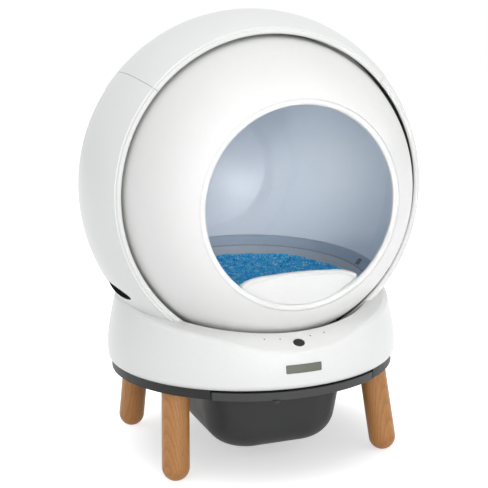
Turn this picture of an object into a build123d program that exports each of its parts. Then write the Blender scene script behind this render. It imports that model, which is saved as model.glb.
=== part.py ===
from build123d import *
import os
from math import atan2, cos, pi, radians, sin, sqrt, tan

# A self cleaning litter box: a round drum turns inside a fixed ball-shaped shell,
# sifts the litter through a grille and drops the waste into a bin under the base.
# X is the width, the entry faces -Y, Z is up. The origin is on the floor under
# the centre of the round base.

os.makedirs("parts", exist_ok=True)

# Fits and general values
overrun = 60.0              # how far every cutting tool runs past what it cuts
seat_gap = 0.1              # between fixed pieces that seat on a curved face
seam_gap = 0.6              # open seam between the hood and the body of the shell
run_gap = 0.4               # between faces that pass each other
pin_fit = 0.05              # radial play of a shaft in its bush

# Ball-shaped shell
ball_rise = 154.6           # lowest point of the ball above the floor
ball_forward = 13.8         # centre of the ball ahead of the centre of the base
ball_radius = 280.0         # half the width and half the height
shell_wall = 4.0
shell_back_room = 13.3      # from the back of the drum to the outside of the shell
rim_cut = 132.7             # front rim, behind the front that the ball would have if closed
rim_width = 8.1             # rolled bead round the front rim
hood_seam_angle = 42.0      # seams of the lift-off hood, above the horizontal
rear_cover_depth = 91.3

# Grips, one in each side of the shell
grip_length = 121.0
grip_height = 25.0
grip_depth = 13.0
grip_clear = 24.0           # middle of the grip above the deck of the skirt
grip_back = -0.5            # middle of the grip behind the ball's centre
grip_tilt = 8.0             # degrees, the rear end higher
grip_wall = 2.0

# Drum
drum_room = 32.0            # from the drum to the outside of the shell, at the widest place
drum_forward = 28.0         # the drum's round centre ahead of the ball's centre
drum_wall = 4.0
drum_joint = -4.0           # where the front cap meets the rear bowl
entry_margin = 100.2        # entry's edge, in from the drum's outside
entry_band = 9.4            # width of the bright ring round the entry
entry_dip = 1.4             # degrees that the entry looks down, about the drum's round centre
entry_proud = 1.4           # the ring's face ahead of the cap's edge
entry_ring_length = 9.0
entry_ring_round = 3.2
entry_flange = 5.0          # flange behind the cap's edge
entry_flange_thick = 3.0
dish_step = 4.0             # each round step in the back of the drum
dish_margin = 102.0         # outer step, in from the drum's outside
hub_dish_margin = 139.0     # and the inner one
dish_ease = 5.0             # half the width of the rounded step
hub_dish_ease = 9.0
track_front = 70.0          # roller track ahead of the ball's centre
track_width = 10.0
track_proud = 0.5
track_rib = 5.0             # how deep the track's rib reaches into the cap's wall

# Entry lip
lip_height = 47.0
lip_thick = 5.0
lip_lean = 13.0             # how far the top stands behind the foot
lip_bead = 4.2
lip_gap = 0.3
lip_arch = ((0.5, 1.6), (0.86, 5.4), (1.0, 11.0))     # share of the half width, fall under the middle

# Litter liner and litter
liner_wall = 5.6
liner_depth = 129.7         # from the bottom of the drum to the liner's edge at the back
liner_slope = 5.6           # degrees that the edge falls towards the front
liner_lip_gap = 29.2        # front end of the liner behind the entry's face
liner_band = 14.0
liner_band_rise = 0.6
clip_width = 12.0
clip_height = 9.0
clip_ahead = 10.0           # clip ahead of the ball's centre
litter_depth = 100.5        # from the bottom of the drum to the top of the litter
litter_gap = 0.35
litter_lip_gap = 25.2       # front end of the litter behind the entry's face
litter_slope = 2.4          # degrees that the litter falls towards the front

# Sifting grille, its pocket and the waste port, all in the rear bowl
sift_front = 8.0            # behind the ball's centre
sift_length = 78.0
sift_low = -26.0            # lower end of the window, degrees above the horizontal
sift_high = 42.0
sift_border = 7.0
sift_bars = 9
sift_bar = 3.2
sift_ribs = 5
sift_rib = 2.0              # degrees
pocket_depth = 16.0
pocket_wall = 2.5
port_length = 78.0
port_width = 116.0
port_frame_wall = 4.0
port_frame_rise = 8.0

# Gear drive
gear_module = 4.0
gear_inset = 8.0            # pitch circle of the ring gear, in from the drum's outside
pinion_teeth = 12
gear_root_share = 0.25      # room under each tooth, as a share of the module
gear_clear = 5.0            # ring gear behind the frame of the waste port
gear_width = 10.0
gear_web = 4.0
gear_rim = 8.0
gear_backlash = 0.5
gear_apart = 0.3            # added to the distance between the two axes
point_apart = 0.025         # closer points of a tooth are one point
pressure_angle = 20.0
pinion_angle = 28.0         # pinion, from straight under the drum's axis
pinion_width = 12.0
pinion_shaft = 4.0
pinion_shaft_length = 22.0
gearbox_radius = 20.0
gearbox_length = 22.0
motor_radius = 17.0
motor_length = 34.0
motor_boss = 5.7
motor_boss_length = 3.2
bracket_thick = 3.0

# Rollers and rear bearing
roller_radius = 7.0
roller_width = 8.0
roller_angle = 30.0
roller_pin = 2.5
bracket_cheek = 3.0
spindle_radius = 12.0
spindle_boss = 22.0
bearing_radius = 20.0
bearing_gap = 2.3           # from the back of the drum to the bearing

# Base
skirt_inset = 40.8          # the skirt's outside, in from the widest place of the shell
skirt_bottom = 154.6
skirt_height = 115.4
deck_height = 109.4         # level part of the deck, beside and behind the shell
skirt_wall = 3.5
skirt_round = 6.0
# side view of the shelf and deck: shares of the skirt's radius and of its height
deck_share = ((1.044, 0.4425), (0.969, 0.5338), (0.8437, 0.6889), (0.689, 0.7806), (0.501, 0.8537),
              (0.3127, 0.9178), (0.1455, 0.9817))
deck_level_share = 0.02
# and its wall: shares of the height and of the radius
wall_share = ((0.065, 0.999), (0.129, 1.0), (0.245, 0.9995), (0.400, 0.991), (0.574, 0.975),
              (0.787, 0.952), (1.0, 0.924))
skirt_rim_round = 9.0       # soft edge between the skirt's wall and the shelf and deck
collar_gap = 7.6            # dark gap between the drum and the collar in front
collar_rise = 50.4          # lower edge of the collar above the lowest point of the ball

ring_inset = 5.9            # the dark ring's outside, in from the skirt's
ring_height = 14.4
ring_seat = 0.3             # seam between the ring and the skirt
ring_wall = 4.0
slot_back = 100.5

badge_length = 56.7
badge_height = 13.0
badge_thick = 1.2
badge_round = 1.6
badge_rise = 32.0           # middle of the badge above the skirt's lower edge

# Fascia pieces, on the sloping shelf in front
sensor_inset = 20.9         # middle of the sensor, in from the skirt's front
sensor_wide = 18.4
sensor_long = 16.4
sensor_thick = 5.0
light_radius = 1.3
light_apart = 48.5          # outer and inner pair, each side of the sensor
light_inner_apart = 24.5
light_step = 15.0           # and above it, along the shelf
light_inner_step = 11.3
light_shift = -3.5          # middle of the lights, beside the middle of the shelf
fascia_shift = -1.6         # middle of the sensor and of the badge
board_length = 104.0
board_width = 30.0
board_up = 9.0              # middle of the board above the sensor, along the shelf
board_thick = 1.6
board_drop = 6.5
board_post = 3.0

# Legs
leg_radius = 21.7
leg_foot = 8.0              # flat foot at the end of each leg
leg_inset_x = 56.6          # middle of the foot, in from the ring's outside
leg_inset_y = 96.3
leg_splay_x = 0.077         # lean outwards for each unit of height
leg_splay_y = 0.175
leg_boss = 26.0
bolt_radius = 4.0
bolt_grip = 34.0            # length inside the leg
bolt_head = 7.0
bolt_head_thick = 4.0
washer_radius = 11.0
washer_thick = 1.5

# Waste drawer
slot_side = 7.0             # from the drawer's slot to the bosses of the legs
front_gap = 0.7             # seam at each end of the drawer's front
front_drop = 1.5            # how far the front hangs under the ring
front_top_gap = 3.4
front_thick = 9.0
frame_side = 3.5            # from the frame to the side of the slot
frame_thick = 3.0
frame_rise = 6.5            # frame above the lower edge of the ring
frame_back_gap = 1.3
tub_side = 9.0              # from the tub to the side of the frame
tub_taper = 18.5            # how far the sides and the front lean in
tub_inset = 72.3            # front of the tub, in from the ring's outside
tub_back_gap = 5.2
tub_corner_share = 0.676    # round of the upright corners, of half the width at the bottom
tub_bottom = 24.0
tub_edge_share = 0.714      # round of the bottom edge, of the corners' round
tub_wall = 3.0
tub_flange = 3.5
tub_flange_thick = 2.2
tub_gap = 0.3
pull_half = 46.0
pull_height = 6.0
pull_depth = 6.0
rail_ledge = 8.0
rail_thick = 3.0

chute_half = 62.0
chute_front = 4.0           # behind the ball's centre
chute_length = 86.0
chute_wall = 3.0
chute_gap = 1.2             # lower edge of the chute above the waste bin

inlet_x = -60.0
inlet_rise = 26.4           # above the skirt's lower edge
inlet_width = 24.0
inlet_height = 15.0
inlet_depth = 14.0
inlet_pin = 1.0
inlet_bore = 2.9

screw_radius = 3.0
screw_head = 5.5
screw_head_thick = 2.2
screw_inset = 100.0         # ring of screws, in from the widest place of the shell
screw_count = 4


def cap_reach(radius, sphere):
    """Distance along the axis where a sphere has that radius."""
    return sqrt(sphere ** 2 - radius ** 2)


# Sizes that follow from the ones above: ball and drum
ball_height = ball_rise + ball_radius
drum_radius = ball_radius - drum_room
drum_back = drum_radius - drum_forward + 2 * dish_step
ball_depth = drum_back + shell_back_room
rim_setback = ball_depth - rim_cut
rear_joint = ball_depth - rear_cover_depth
entry_radius = drum_radius - entry_margin
entry_setback = cap_reach(entry_radius + entry_band, drum_radius) + drum_forward + entry_proud
dish_radius = drum_radius - dish_margin
hub_dish_radius = drum_radius - hub_dish_margin
track_radius = drum_radius + track_proud
lip_drop = entry_radius - lip_height
liner_back_drop = drum_radius - liner_depth
liner_back_reach = cap_reach(liner_back_drop, drum_radius - drum_wall) - drum_forward
liner_front = entry_setback - liner_lip_gap
litter_drop = drum_radius - litter_depth
litter_front = entry_setback - litter_lip_gap
pocket_radius = drum_radius + pocket_depth
port_frame_radius = drum_radius + port_frame_rise
gear_back = sift_front + port_length + port_frame_wall + gear_clear + gear_width / 2
gear_teeth = round(2 * (drum_radius - gear_inset) / gear_module)
bearing_length = shell_back_room - shell_wall - bearing_gap
screw_ring = ball_radius - screw_inset

# Sizes that follow: base, legs and drawer
base_skirt_radius = ball_radius - skirt_inset
skirt_top = skirt_bottom + skirt_height
skirt_side_top = skirt_bottom + deck_height
grip_rise = skirt_side_top + grip_clear
collar_bottom = ball_rise + collar_rise
ring_radius = base_skirt_radius - ring_inset
ring_top = skirt_bottom - ring_seat
ring_bottom = ring_top - ring_height
sensor_ahead = base_skirt_radius - sensor_inset
leg_x = ring_radius - leg_inset_x
leg_y = ring_radius - leg_inset_y
leg_rise = ring_bottom - sqrt(leg_radius ** 2 - leg_foot ** 2)
leg_top_x = leg_x - leg_splay_x * leg_rise
leg_top_y = leg_y - leg_splay_y * leg_rise
slot_half = leg_top_x - leg_boss - slot_side
frame_half = slot_half - frame_side
frame_bottom = ring_bottom + frame_rise
frame_back = slot_back - frame_back_gap
tub_top_half = frame_half - tub_side
tub_bottom_half = tub_top_half - tub_taper
tub_corner = tub_corner_share * tub_bottom_half
tub_edge_round = tub_edge_share * tub_corner
tub_front_top = ring_radius - tub_inset
tub_front_bottom = tub_front_top - tub_taper
tub_back = frame_back - tub_back_gap

# The ball's own plane, with Y along the axis that the drum turns about
ball_y = -ball_forward
ball_plane = Plane(origin=(0, ball_y, ball_height), x_dir=(1, 0, 0), z_dir=(0, 0, 1))
ball_axis = Axis((0, ball_y, ball_height), (0, 1, 0))
dip_axis = Axis((0, ball_y - drum_forward, ball_height), (1, 0, 0))
base_axis = Axis((0, 0, 0), (0, 0, 1))


def half_width_at(reach):
    """Radius of the ball at a distance along the drum's axis."""
    return ball_radius * sqrt(1 - (reach / ball_depth) ** 2)


def ellipsoid(half_width, half_depth, forward):
    """Solid of revolution about the drum's axis."""
    with BuildPart() as solid:
        with BuildSketch(Plane(origin=(0, ball_y - forward, ball_height))):
            Ellipse(half_width, half_depth)
            with Locations((-half_width / 2, 0)):
                Rectangle(half_width, 2 * half_depth, mode=Mode.SUBTRACT)
        revolve(axis=ball_axis)
    return solid.part


def sphere_spot(sphere, radius):
    """Point of the drum's section (radius, reach) on one of its spheres."""
    return (radius, cap_reach(radius, sphere) - drum_forward)


def bowl_edge(inset):
    """One side of the bowl's wall in section, from its middle to the joint, with two rounded steps."""
    joint_reach = drum_joint + drum_forward
    spheres = [drum_radius + step * dish_step - inset for step in (2, 1, 0)]
    starts = [0, hub_dish_radius + hub_dish_ease, dish_radius + dish_ease]
    ends = [hub_dish_radius - hub_dish_ease, dish_radius - dish_ease, cap_reach(joint_reach, spheres[2])]
    for sphere, start, end in zip(spheres, starts, ends):
        middle = (start + end) / 2
        ThreePointArc(sphere_spot(sphere, start), sphere_spot(sphere, middle), sphere_spot(sphere, end))
    for inner in (0, 1):
        outer = inner + 1
        leave = (cap_reach(ends[inner], spheres[inner]), -ends[inner])
        arrive = (cap_reach(starts[outer], spheres[outer]), -starts[outer])
        Spline(sphere_spot(spheres[inner], ends[inner]), sphere_spot(spheres[outer], starts[outer]),
               tangents=(leave, arrive))
    return sphere_spot(spheres[0], 0), sphere_spot(spheres[2], ends[2])


def face_plane(reach):
    """Plane across the drum's axis, at a distance behind the ball's centre."""
    return Plane(origin=(0, ball_y + reach, ball_height), x_dir=(1, 0, 0), z_dir=(0, -1, 0))


def wedge(low, high, reach, front, back):
    """Prism between two angles above the horizontal, on the +X side at 0 degrees."""
    middle = radians((low + high) / 2)
    half = radians((high - low) / 2)
    with BuildPart() as prism:
        with BuildSketch(face_plane(back)):
            with BuildLine():
                Polyline(
                    (0, 0),
                    (reach * cos(middle - half), reach * sin(middle - half)),
                    (reach * cos(middle) / cos(half), reach * sin(middle) / cos(half)),
                    (reach * cos(middle + half), reach * sin(middle + half)),
                    (0, 0),
                )
            make_face()
        extrude(amount=back - front)
    return prism.part


def skirt_solid(inset):
    """The skirt's round outline, turned solid, with its wall moved in by the inset."""
    height = skirt_top - skirt_bottom
    wall = [(base_skirt_radius * r - inset, skirt_bottom + height * h) for h, r in wall_share]
    foot = (wall[0][0] - skirt_round, skirt_bottom)
    with BuildPart() as body:
        with BuildSketch(Plane.XZ):
            with BuildLine():
                Line((0, skirt_bottom), foot)
                RadiusArc(foot, wall[0], -(wall[0][1] - skirt_bottom) * sqrt(2))
                Spline(*wall)
                Line(wall[-1], (0, skirt_top))
                Line((0, skirt_top), (0, skirt_bottom))
            make_face()
        revolve(axis=base_axis)
    return body.part


def deck_solid(drop):
    """Everything under the shelf and deck, as a prism along X, lowered by the drop."""
    front = base_skirt_radius
    height = skirt_side_top - skirt_bottom
    curve = [(-front * s, skirt_bottom + height * h - drop) for s, h in deck_share]
    first = (curve[0][0] - overrun, curve[0][1] - overrun / 2)
    level = (front * deck_level_share, skirt_side_top - drop)
    with BuildPart() as prism:
        with BuildSketch(Plane.YZ.offset(-front - overrun)):
            with BuildLine():
                Line(first, curve[0])
                Spline(*curve, level, tangents=((overrun, overrun / 2), (overrun, 0)))
                Line(level, (front + overrun, level[1]))
                Line((front + overrun, level[1]), (front + overrun, 0))
                Line((front + overrun, 0), (first[0], 0))
                Line((first[0], 0), first)
            make_face()
        extrude(amount=2 * (front + overrun))
    return prism.part


shell_solid = ellipsoid(ball_radius, ball_depth, 0)
shell_void = ellipsoid(ball_radius - shell_wall, ball_depth - shell_wall, 0)
seat_solid = ellipsoid(ball_radius + seat_gap, ball_depth + seat_gap, 0)
drum_solid = ellipsoid(drum_radius, drum_radius, drum_forward)
drum_seat = ellipsoid(drum_radius + seat_gap, drum_radius + seat_gap, drum_forward)

# Shell: one band of the ball, later parted into the hood and the body
rim_radius = half_width_at(rim_setback)
bead_place = (rim_radius - rim_width / 2, -rim_setback + rim_width / 2)
with BuildPart() as shell_band:
    with BuildSketch(ball_plane):
        Ellipse(ball_radius, ball_depth)
        Ellipse(ball_radius - shell_wall, ball_depth - shell_wall, mode=Mode.SUBTRACT)
        with Locations((ball_radius / 2, (rear_joint + bead_place[1]) / 2)):
            Rectangle(ball_radius, rear_joint - bead_place[1], mode=Mode.INTERSECT)
        with Locations(bead_place):
            Circle(rim_width / 2)
    revolve(axis=ball_axis)

wedge_reach = 2 * ball_radius
seam_rise = seam_gap / cos(radians(hood_seam_angle))
hood_edge = (wedge_reach * cos(radians(hood_seam_angle)), wedge_reach * sin(radians(hood_seam_angle)))
with BuildPart() as hood:
    add(shell_band.part)
    with BuildSketch(face_plane(rear_joint + overrun)):
        with BuildLine():
            Polyline((0, seam_rise), (hood_edge[0], hood_edge[1] + seam_rise),
                     (-hood_edge[0], hood_edge[1] + seam_rise), (0, seam_rise))
        make_face()
    extrude(amount=rear_joint + rim_setback + 2 * overrun, mode=Mode.INTERSECT)
hood.part.label = "hood"
export_step(hood.part, "parts/hood.step")

# Place of the pinion and of the rollers under the drum
pitch_radius = gear_module * gear_teeth / 2
pinion_pitch = gear_module * pinion_teeth / 2
pinion_reach = pitch_radius + pinion_pitch + gear_apart
pinion_x = pinion_reach * sin(radians(pinion_angle))
pinion_z = ball_height - pinion_reach * cos(radians(pinion_angle))
pinion_tip = pinion_pitch + gear_module
roller_reach = track_radius + run_gap + roller_radius
sift_back = sift_front + sift_length
chute_middle = ball_y + chute_front + chute_length / 2

with BuildPart() as shell_body:
    add(shell_band.part)
    with BuildSketch(face_plane(rear_joint + overrun)):
        with BuildLine():
            Polyline((0, 0), hood_edge, (-hood_edge[0], hood_edge[1]), (0, 0))
        make_face()
    extrude(amount=rear_joint + rim_setback + 2 * overrun, mode=Mode.SUBTRACT)
    # waste opening in the bottom
    with BuildSketch(Plane.XY):
        with Locations((0, chute_middle)):
            Rectangle(2 * chute_half, chute_length)
    extrude(amount=ball_height - ball_radius + overrun, mode=Mode.SUBTRACT)
    # slot where the pinion reaches the ring gear
    with BuildSketch(face_plane(gear_back + pinion_width)):
        with Locations((pinion_x, pinion_z - ball_height)):
            Rectangle(2 * pinion_tip + 2 * shell_wall, 2 * pinion_tip + 2 * shell_wall)
    extrude(amount=2 * pinion_width, mode=Mode.SUBTRACT)
    # hand grips in the two sides
    with BuildSketch(Plane.YZ.offset(-ball_radius - overrun)):
        with Locations((ball_y + grip_back, grip_rise)):
            Ellipse(grip_length / 2, grip_height / 2, rotation=grip_tilt)
    extrude(amount=2 * (ball_radius + overrun), mode=Mode.SUBTRACT)
shell_body.part.label = "shell_body"
export_step(shell_body.part, "parts/shell_body.step")

# Grip pockets: dark cups set into the two grips
grip_floor = grip_depth - grip_wall
with BuildPart() as grip_hollow:
    with BuildSketch(Plane.YZ.offset(-ball_radius - overrun)):
        with Locations((ball_y + grip_back, grip_rise)):
            Ellipse(grip_length / 2 - grip_wall, grip_height / 2 - grip_wall, rotation=grip_tilt)
    extrude(amount=ball_radius + overrun)
    add(ellipsoid(ball_radius - grip_floor, ball_depth - grip_floor, 0), mode=Mode.SUBTRACT)
with BuildPart() as grip_pocket_left:
    with BuildSketch(Plane.YZ.offset(-ball_radius - overrun)):
        with Locations((ball_y + grip_back, grip_rise)):
            Ellipse(grip_length / 2 - seat_gap, grip_height / 2 - seat_gap, rotation=grip_tilt)
    extrude(amount=ball_radius + overrun)
    add(shell_solid, mode=Mode.INTERSECT)
    add(ellipsoid(ball_radius - grip_depth, ball_depth - grip_depth, 0), mode=Mode.SUBTRACT)
    add(grip_hollow.part, mode=Mode.SUBTRACT)
grip_pocket_left.part.label = "grip_pocket_left"
export_step(grip_pocket_left.part, "parts/grip_pocket_left.step")

with BuildPart() as grip_pocket_right:
    add(grip_pocket_left.part.mirror(Plane.YZ))
grip_pocket_right.part.label = "grip_pocket_right"
export_step(grip_pocket_right.part, "parts/grip_pocket_right.step")

# Rear cover, with the boss that holds the drum's rear bearing
spindle_end = ball_depth - shell_wall - 2 * run_gap
hub_wall = drum_back - drum_wall / 2
bearing_front = ball_depth - shell_wall - bearing_length
with BuildPart() as rear_cover:
    with BuildSketch(ball_plane):
        Ellipse(ball_radius, ball_depth)
        Ellipse(ball_radius - shell_wall, ball_depth - shell_wall, mode=Mode.SUBTRACT)
        with Locations((ball_radius / 2, rear_joint + ball_depth / 2)):
            Rectangle(ball_radius, ball_depth, mode=Mode.INTERSECT)
    revolve(axis=ball_axis)
    with BuildSketch(face_plane(ball_depth + overrun)):
        with PolarLocations(screw_ring, screw_count, start_angle=180 / screw_count):
            Circle(screw_radius + seat_gap)
    extrude(amount=ball_depth, mode=Mode.SUBTRACT)
rear_cover.part.label = "rear_cover"
export_step(rear_cover.part, "parts/rear_cover.step")

with BuildPart() as rear_bearing:
    with BuildSketch(face_plane(ball_depth)):
        Circle(bearing_radius)
        Circle(spindle_radius + pin_fit, mode=Mode.SUBTRACT)
    extrude(amount=bearing_length + shell_wall)
    add(shell_void, mode=Mode.INTERSECT)
rear_bearing.part.label = "rear_bearing"
export_step(rear_bearing.part, "parts/rear_bearing.step")

# Screws that hold the rear cover, all alike
screw_face = ball_depth * sqrt(1 - (screw_ring / ball_radius) ** 2)
with BuildPart() as cover_screws:
    with BuildSketch(face_plane(screw_face + screw_head_thick)):
        with PolarLocations(screw_ring, screw_count, start_angle=180 / screw_count):
            Circle(screw_head)
    extrude(amount=2 * shell_wall)
    add(seat_solid, mode=Mode.SUBTRACT)
    with BuildSketch(face_plane(screw_face + screw_head_thick)):
        with PolarLocations(screw_ring, screw_count, start_angle=180 / screw_count):
            Circle(screw_radius)
    extrude(amount=4 * shell_wall)
cover_screws.part.label = "cover_screws"
export_step(cover_screws.part, "parts/cover_screws.step")

# Drum, front cap, open for the entry
ring_hole = entry_radius + entry_band
with BuildPart() as entry_cut:
    with BuildSketch(face_plane(-drum_forward)):
        Circle(ring_hole)
    extrude(amount=drum_radius + overrun)
with BuildPart() as drum_front_cap:
    with BuildSketch(ball_plane):
        with Locations((0, -drum_forward)):
            Circle(drum_radius)
            Circle(drum_radius - drum_wall, mode=Mode.SUBTRACT)
        with Locations((drum_radius / 2, drum_joint - drum_radius)):
            Rectangle(drum_radius, 2 * drum_radius, mode=Mode.INTERSECT)
        with Locations((track_radius - track_rib / 2, -track_front + track_width / 2)):
            Rectangle(track_rib, track_width)
    revolve(axis=ball_axis)
    add(entry_cut.part.rotate(dip_axis, entry_dip), mode=Mode.SUBTRACT)
drum_front_cap.part.label = "drum_front_cap"
export_step(drum_front_cap.part, "parts/drum_front_cap.step")

# Bright ring round the entry
flange_face = cap_reach(ring_hole + entry_flange, drum_radius - drum_wall) + drum_forward - seat_gap
ring_step = entry_radius + entry_band / 2
ring_edge = ring_hole - seat_gap / 2
with BuildPart() as entry_ring:
    with BuildSketch(ball_plane):
        with Locations((entry_radius + entry_band / 2, -entry_setback + entry_ring_length / 2)):
            RectangleRounded(entry_band - seat_gap, entry_ring_length, entry_ring_round)
        with BuildLine():
            Polyline(
                (ring_step, -entry_setback + entry_ring_length / 2),
                (ring_edge, -entry_setback + entry_ring_length / 2),
                (ring_edge, -flange_face),
                (ring_hole + entry_flange, -flange_face),
                (ring_hole + entry_flange, -flange_face + entry_flange_thick),
                (ring_step, -flange_face + entry_flange_thick),
                (ring_step, -entry_setback + entry_ring_length / 2),
            )
        make_face()
    revolve(axis=ball_axis)
ring_dipped = entry_ring.part.rotate(dip_axis, entry_dip)
ring_dipped.label = "entry_ring"
export_step(ring_dipped, "parts/entry_ring.step")

# Entry lip: the low step that keeps the litter in, with a rolled top edge that arches
lip_tilt = atan2(lip_lean, lip_height)
lip_foot_y = ball_y - entry_setback + entry_ring_round + lip_thick / 2
lip_plane = Plane(origin=(0, lip_foot_y, ball_height - entry_radius), x_dir=(1, 0, 0),
                  z_dir=(0, -cos(lip_tilt), sin(lip_tilt)))
lip_end_drop = lip_drop + lip_bead + lip_arch[-1][1]
lip_half = cap_reach(lip_end_drop, entry_radius)
lip_right = [(lip_half * s, (lip_height - lip_bead - fall) / cos(lip_tilt)) for s, fall in lip_arch]
lip_left = [(-x, y) for x, y in lip_right[::-1]]
lip_top = lip_left + [(0, (lip_height - lip_bead) / cos(lip_tilt))] + lip_right
with BuildPart() as entry_lip:
    with BuildLine(lip_plane) as lip_edge:
        Spline(*lip_top)
    with BuildSketch(Plane(origin=lip_edge.line @ 0, z_dir=lip_edge.line % 0)):
        Circle(lip_bead)
    sweep(path=lip_edge.line)
    with BuildSketch(lip_plane):
        with BuildLine():
            Spline(*lip_top)
            Polyline(lip_top[-1], (lip_half, 0), (-lip_half, 0), lip_top[0])
        make_face()
    extrude(amount=lip_thick / 2, both=True)
    with BuildSketch(face_plane(0)):
        Circle(entry_radius - lip_gap + seat_gap / 2)
    extrude(amount=2 * entry_setback, mode=Mode.INTERSECT)
lip_dipped = entry_lip.part.rotate(dip_axis, entry_dip)
lip_dipped.label = "entry_lip"
export_step(lip_dipped, "parts/entry_lip.step")

# Drum, rear bowl, with its round steps, the sifting window and the waste port
port_back = sift_front + port_length
with BuildPart() as drum_rear_bowl:
    with BuildSketch(ball_plane):
        with BuildLine():
            outer_middle, outer_joint = bowl_edge(0)
            inner_middle, inner_joint = bowl_edge(drum_wall)
            Line(outer_middle, inner_middle)
            Line(outer_joint, inner_joint)
        make_face()
        with Locations((spindle_boss / 2, (hub_wall + bearing_front - run_gap) / 2)):
            Rectangle(spindle_boss, bearing_front - run_gap - hub_wall)
        with Locations((spindle_radius / 2, (hub_wall + spindle_end) / 2)):
            Rectangle(spindle_radius, spindle_end - hub_wall)
    revolve(axis=ball_axis)
    add(wedge(180 - sift_high, 180 - sift_low, wedge_reach, sift_front, sift_back), mode=Mode.SUBTRACT)
    with BuildSketch(ball_plane):
        with Locations((0, sift_front + port_length / 2)):
            Rectangle(port_width, port_length)
    extrude(amount=drum_radius + overrun, mode=Mode.SUBTRACT)
drum_rear_bowl.part.label = "drum_rear_bowl"
export_step(drum_rear_bowl.part, "parts/drum_rear_bowl.step")

# Sifting grille: curved bars and ribs over the window
sift_outer = drum_radius - drum_wall - seat_gap
sift_inner = drum_radius - drum_wall - liner_wall + liner_band_rise / 2
bar_step = sift_length / sift_bars
with BuildPart() as sifting_grille:
    with BuildSketch(ball_plane):
        with Locations((0, -drum_forward)):
            Circle(sift_outer)
            Circle(sift_inner, mode=Mode.SUBTRACT)
        with Locations((drum_radius / 2, (sift_front + sift_back) / 2)):
            Rectangle(drum_radius, sift_length + 2 * sift_border, mode=Mode.INTERSECT)
        with Locations((drum_radius / 2, (sift_front + sift_back) / 2)):
            with GridLocations(drum_radius, bar_step, 1, sift_bars):
                Rectangle(drum_radius, bar_step - sift_bar, mode=Mode.SUBTRACT)
    revolve(axis=ball_axis, revolution_arc=sift_high - sift_low)
    with BuildSketch(ball_plane) as rib_face:
        with Locations((0, -drum_forward)):
            Circle(sift_outer)
            Circle(sift_inner, mode=Mode.SUBTRACT)
        with Locations((drum_radius / 2, (sift_front + sift_back) / 2)):
            Rectangle(drum_radius, sift_length + 2 * sift_border, mode=Mode.INTERSECT)
    rib_step = (sift_high - sift_low - sift_rib) / (sift_ribs - 1)
    for rib in range(sift_ribs):
        turned = rib_face.sketch.rotate(ball_axis, rib * rib_step)
        revolve(turned, axis=ball_axis, revolution_arc=sift_rib)
sift_turn = 180 + sift_low
grille = sifting_grille.part.rotate(ball_axis, sift_turn)
grille.label = "sifting_grille"
export_step(grille, "parts/sifting_grille.step")

# Pocket behind the grille, for the sifted litter
with BuildPart() as pocket_block:
    add(wedge(180 - sift_high - 2 * sift_rib, 180 - sift_low + 2 * sift_rib, wedge_reach,
              sift_front - sift_border / 2, sift_back + sift_border / 2))
    add(ellipsoid(pocket_radius, pocket_radius, drum_forward), mode=Mode.INTERSECT)
    add(drum_seat, mode=Mode.SUBTRACT)
with BuildPart() as pocket_hollow:
    add(wedge(180 - sift_high, 180 - sift_low, wedge_reach, sift_front, sift_back))
    add(ellipsoid(pocket_radius - pocket_wall, pocket_radius - pocket_wall, drum_forward),
        mode=Mode.INTERSECT)
with BuildPart() as clean_litter_pocket:
    add(pocket_block.part)
    add(pocket_hollow.part, mode=Mode.SUBTRACT)
clean_litter_pocket.part.label = "clean_litter_pocket"
export_step(clean_litter_pocket.part, "parts/clean_litter_pocket.step")

# Frame round the waste port, on the outside of the drum
with BuildPart() as waste_port_frame:
    with BuildSketch(ball_plane):
        with Locations((0, sift_front + port_length / 2)):
            RectangleRounded(port_width + 2 * port_frame_wall, port_length + 2 * port_frame_wall,
                             port_frame_wall)
            Rectangle(port_width, port_length, mode=Mode.SUBTRACT)
    extrude(amount=drum_radius + overrun)
    add(ellipsoid(port_frame_radius, port_frame_radius, drum_forward), mode=Mode.INTERSECT)
    add(drum_seat, mode=Mode.SUBTRACT)
waste_port_frame.part.label = "waste_port_frame"
export_step(waste_port_frame.part, "parts/waste_port_frame.step")

# Litter liner: a bowl that hugs the lower wall of the drum
liner_outer = drum_radius - drum_wall - seat_gap
liner_inner = drum_radius - drum_wall - liner_wall
edge_plane = Plane(
    origin=(0, ball_y + liner_back_reach, ball_height - liner_back_drop),
    x_dir=(1, 0, 0),
    z_dir=(0, -sin(radians(liner_slope)), cos(radians(liner_slope))),
)
clip_fall = (liner_back_reach + clip_ahead) * tan(radians(liner_slope))
clip_spot = (-clip_ahead, -liner_back_drop - clip_fall - liner_band / 2)
clip_plane = Plane(origin=(-drum_radius - overrun, ball_y, ball_height), x_dir=(0, 1, 0), z_dir=(1, 0, 0))
band_radius = liner_inner - liner_band_rise
with BuildPart() as liner_clips:
    with BuildSketch(clip_plane):
        with Locations(clip_spot):
            RectangleRounded(clip_width, clip_height, clip_height / 4)
    extrude(amount=2 * (drum_radius + overrun))
    add(ellipsoid(liner_outer, liner_outer, drum_forward), mode=Mode.INTERSECT)
    add(ellipsoid(band_radius, band_radius, drum_forward), mode=Mode.SUBTRACT)
liner_clips.part.label = "liner_clips"
export_step(liner_clips.part, "parts/liner_clips.step")

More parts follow.
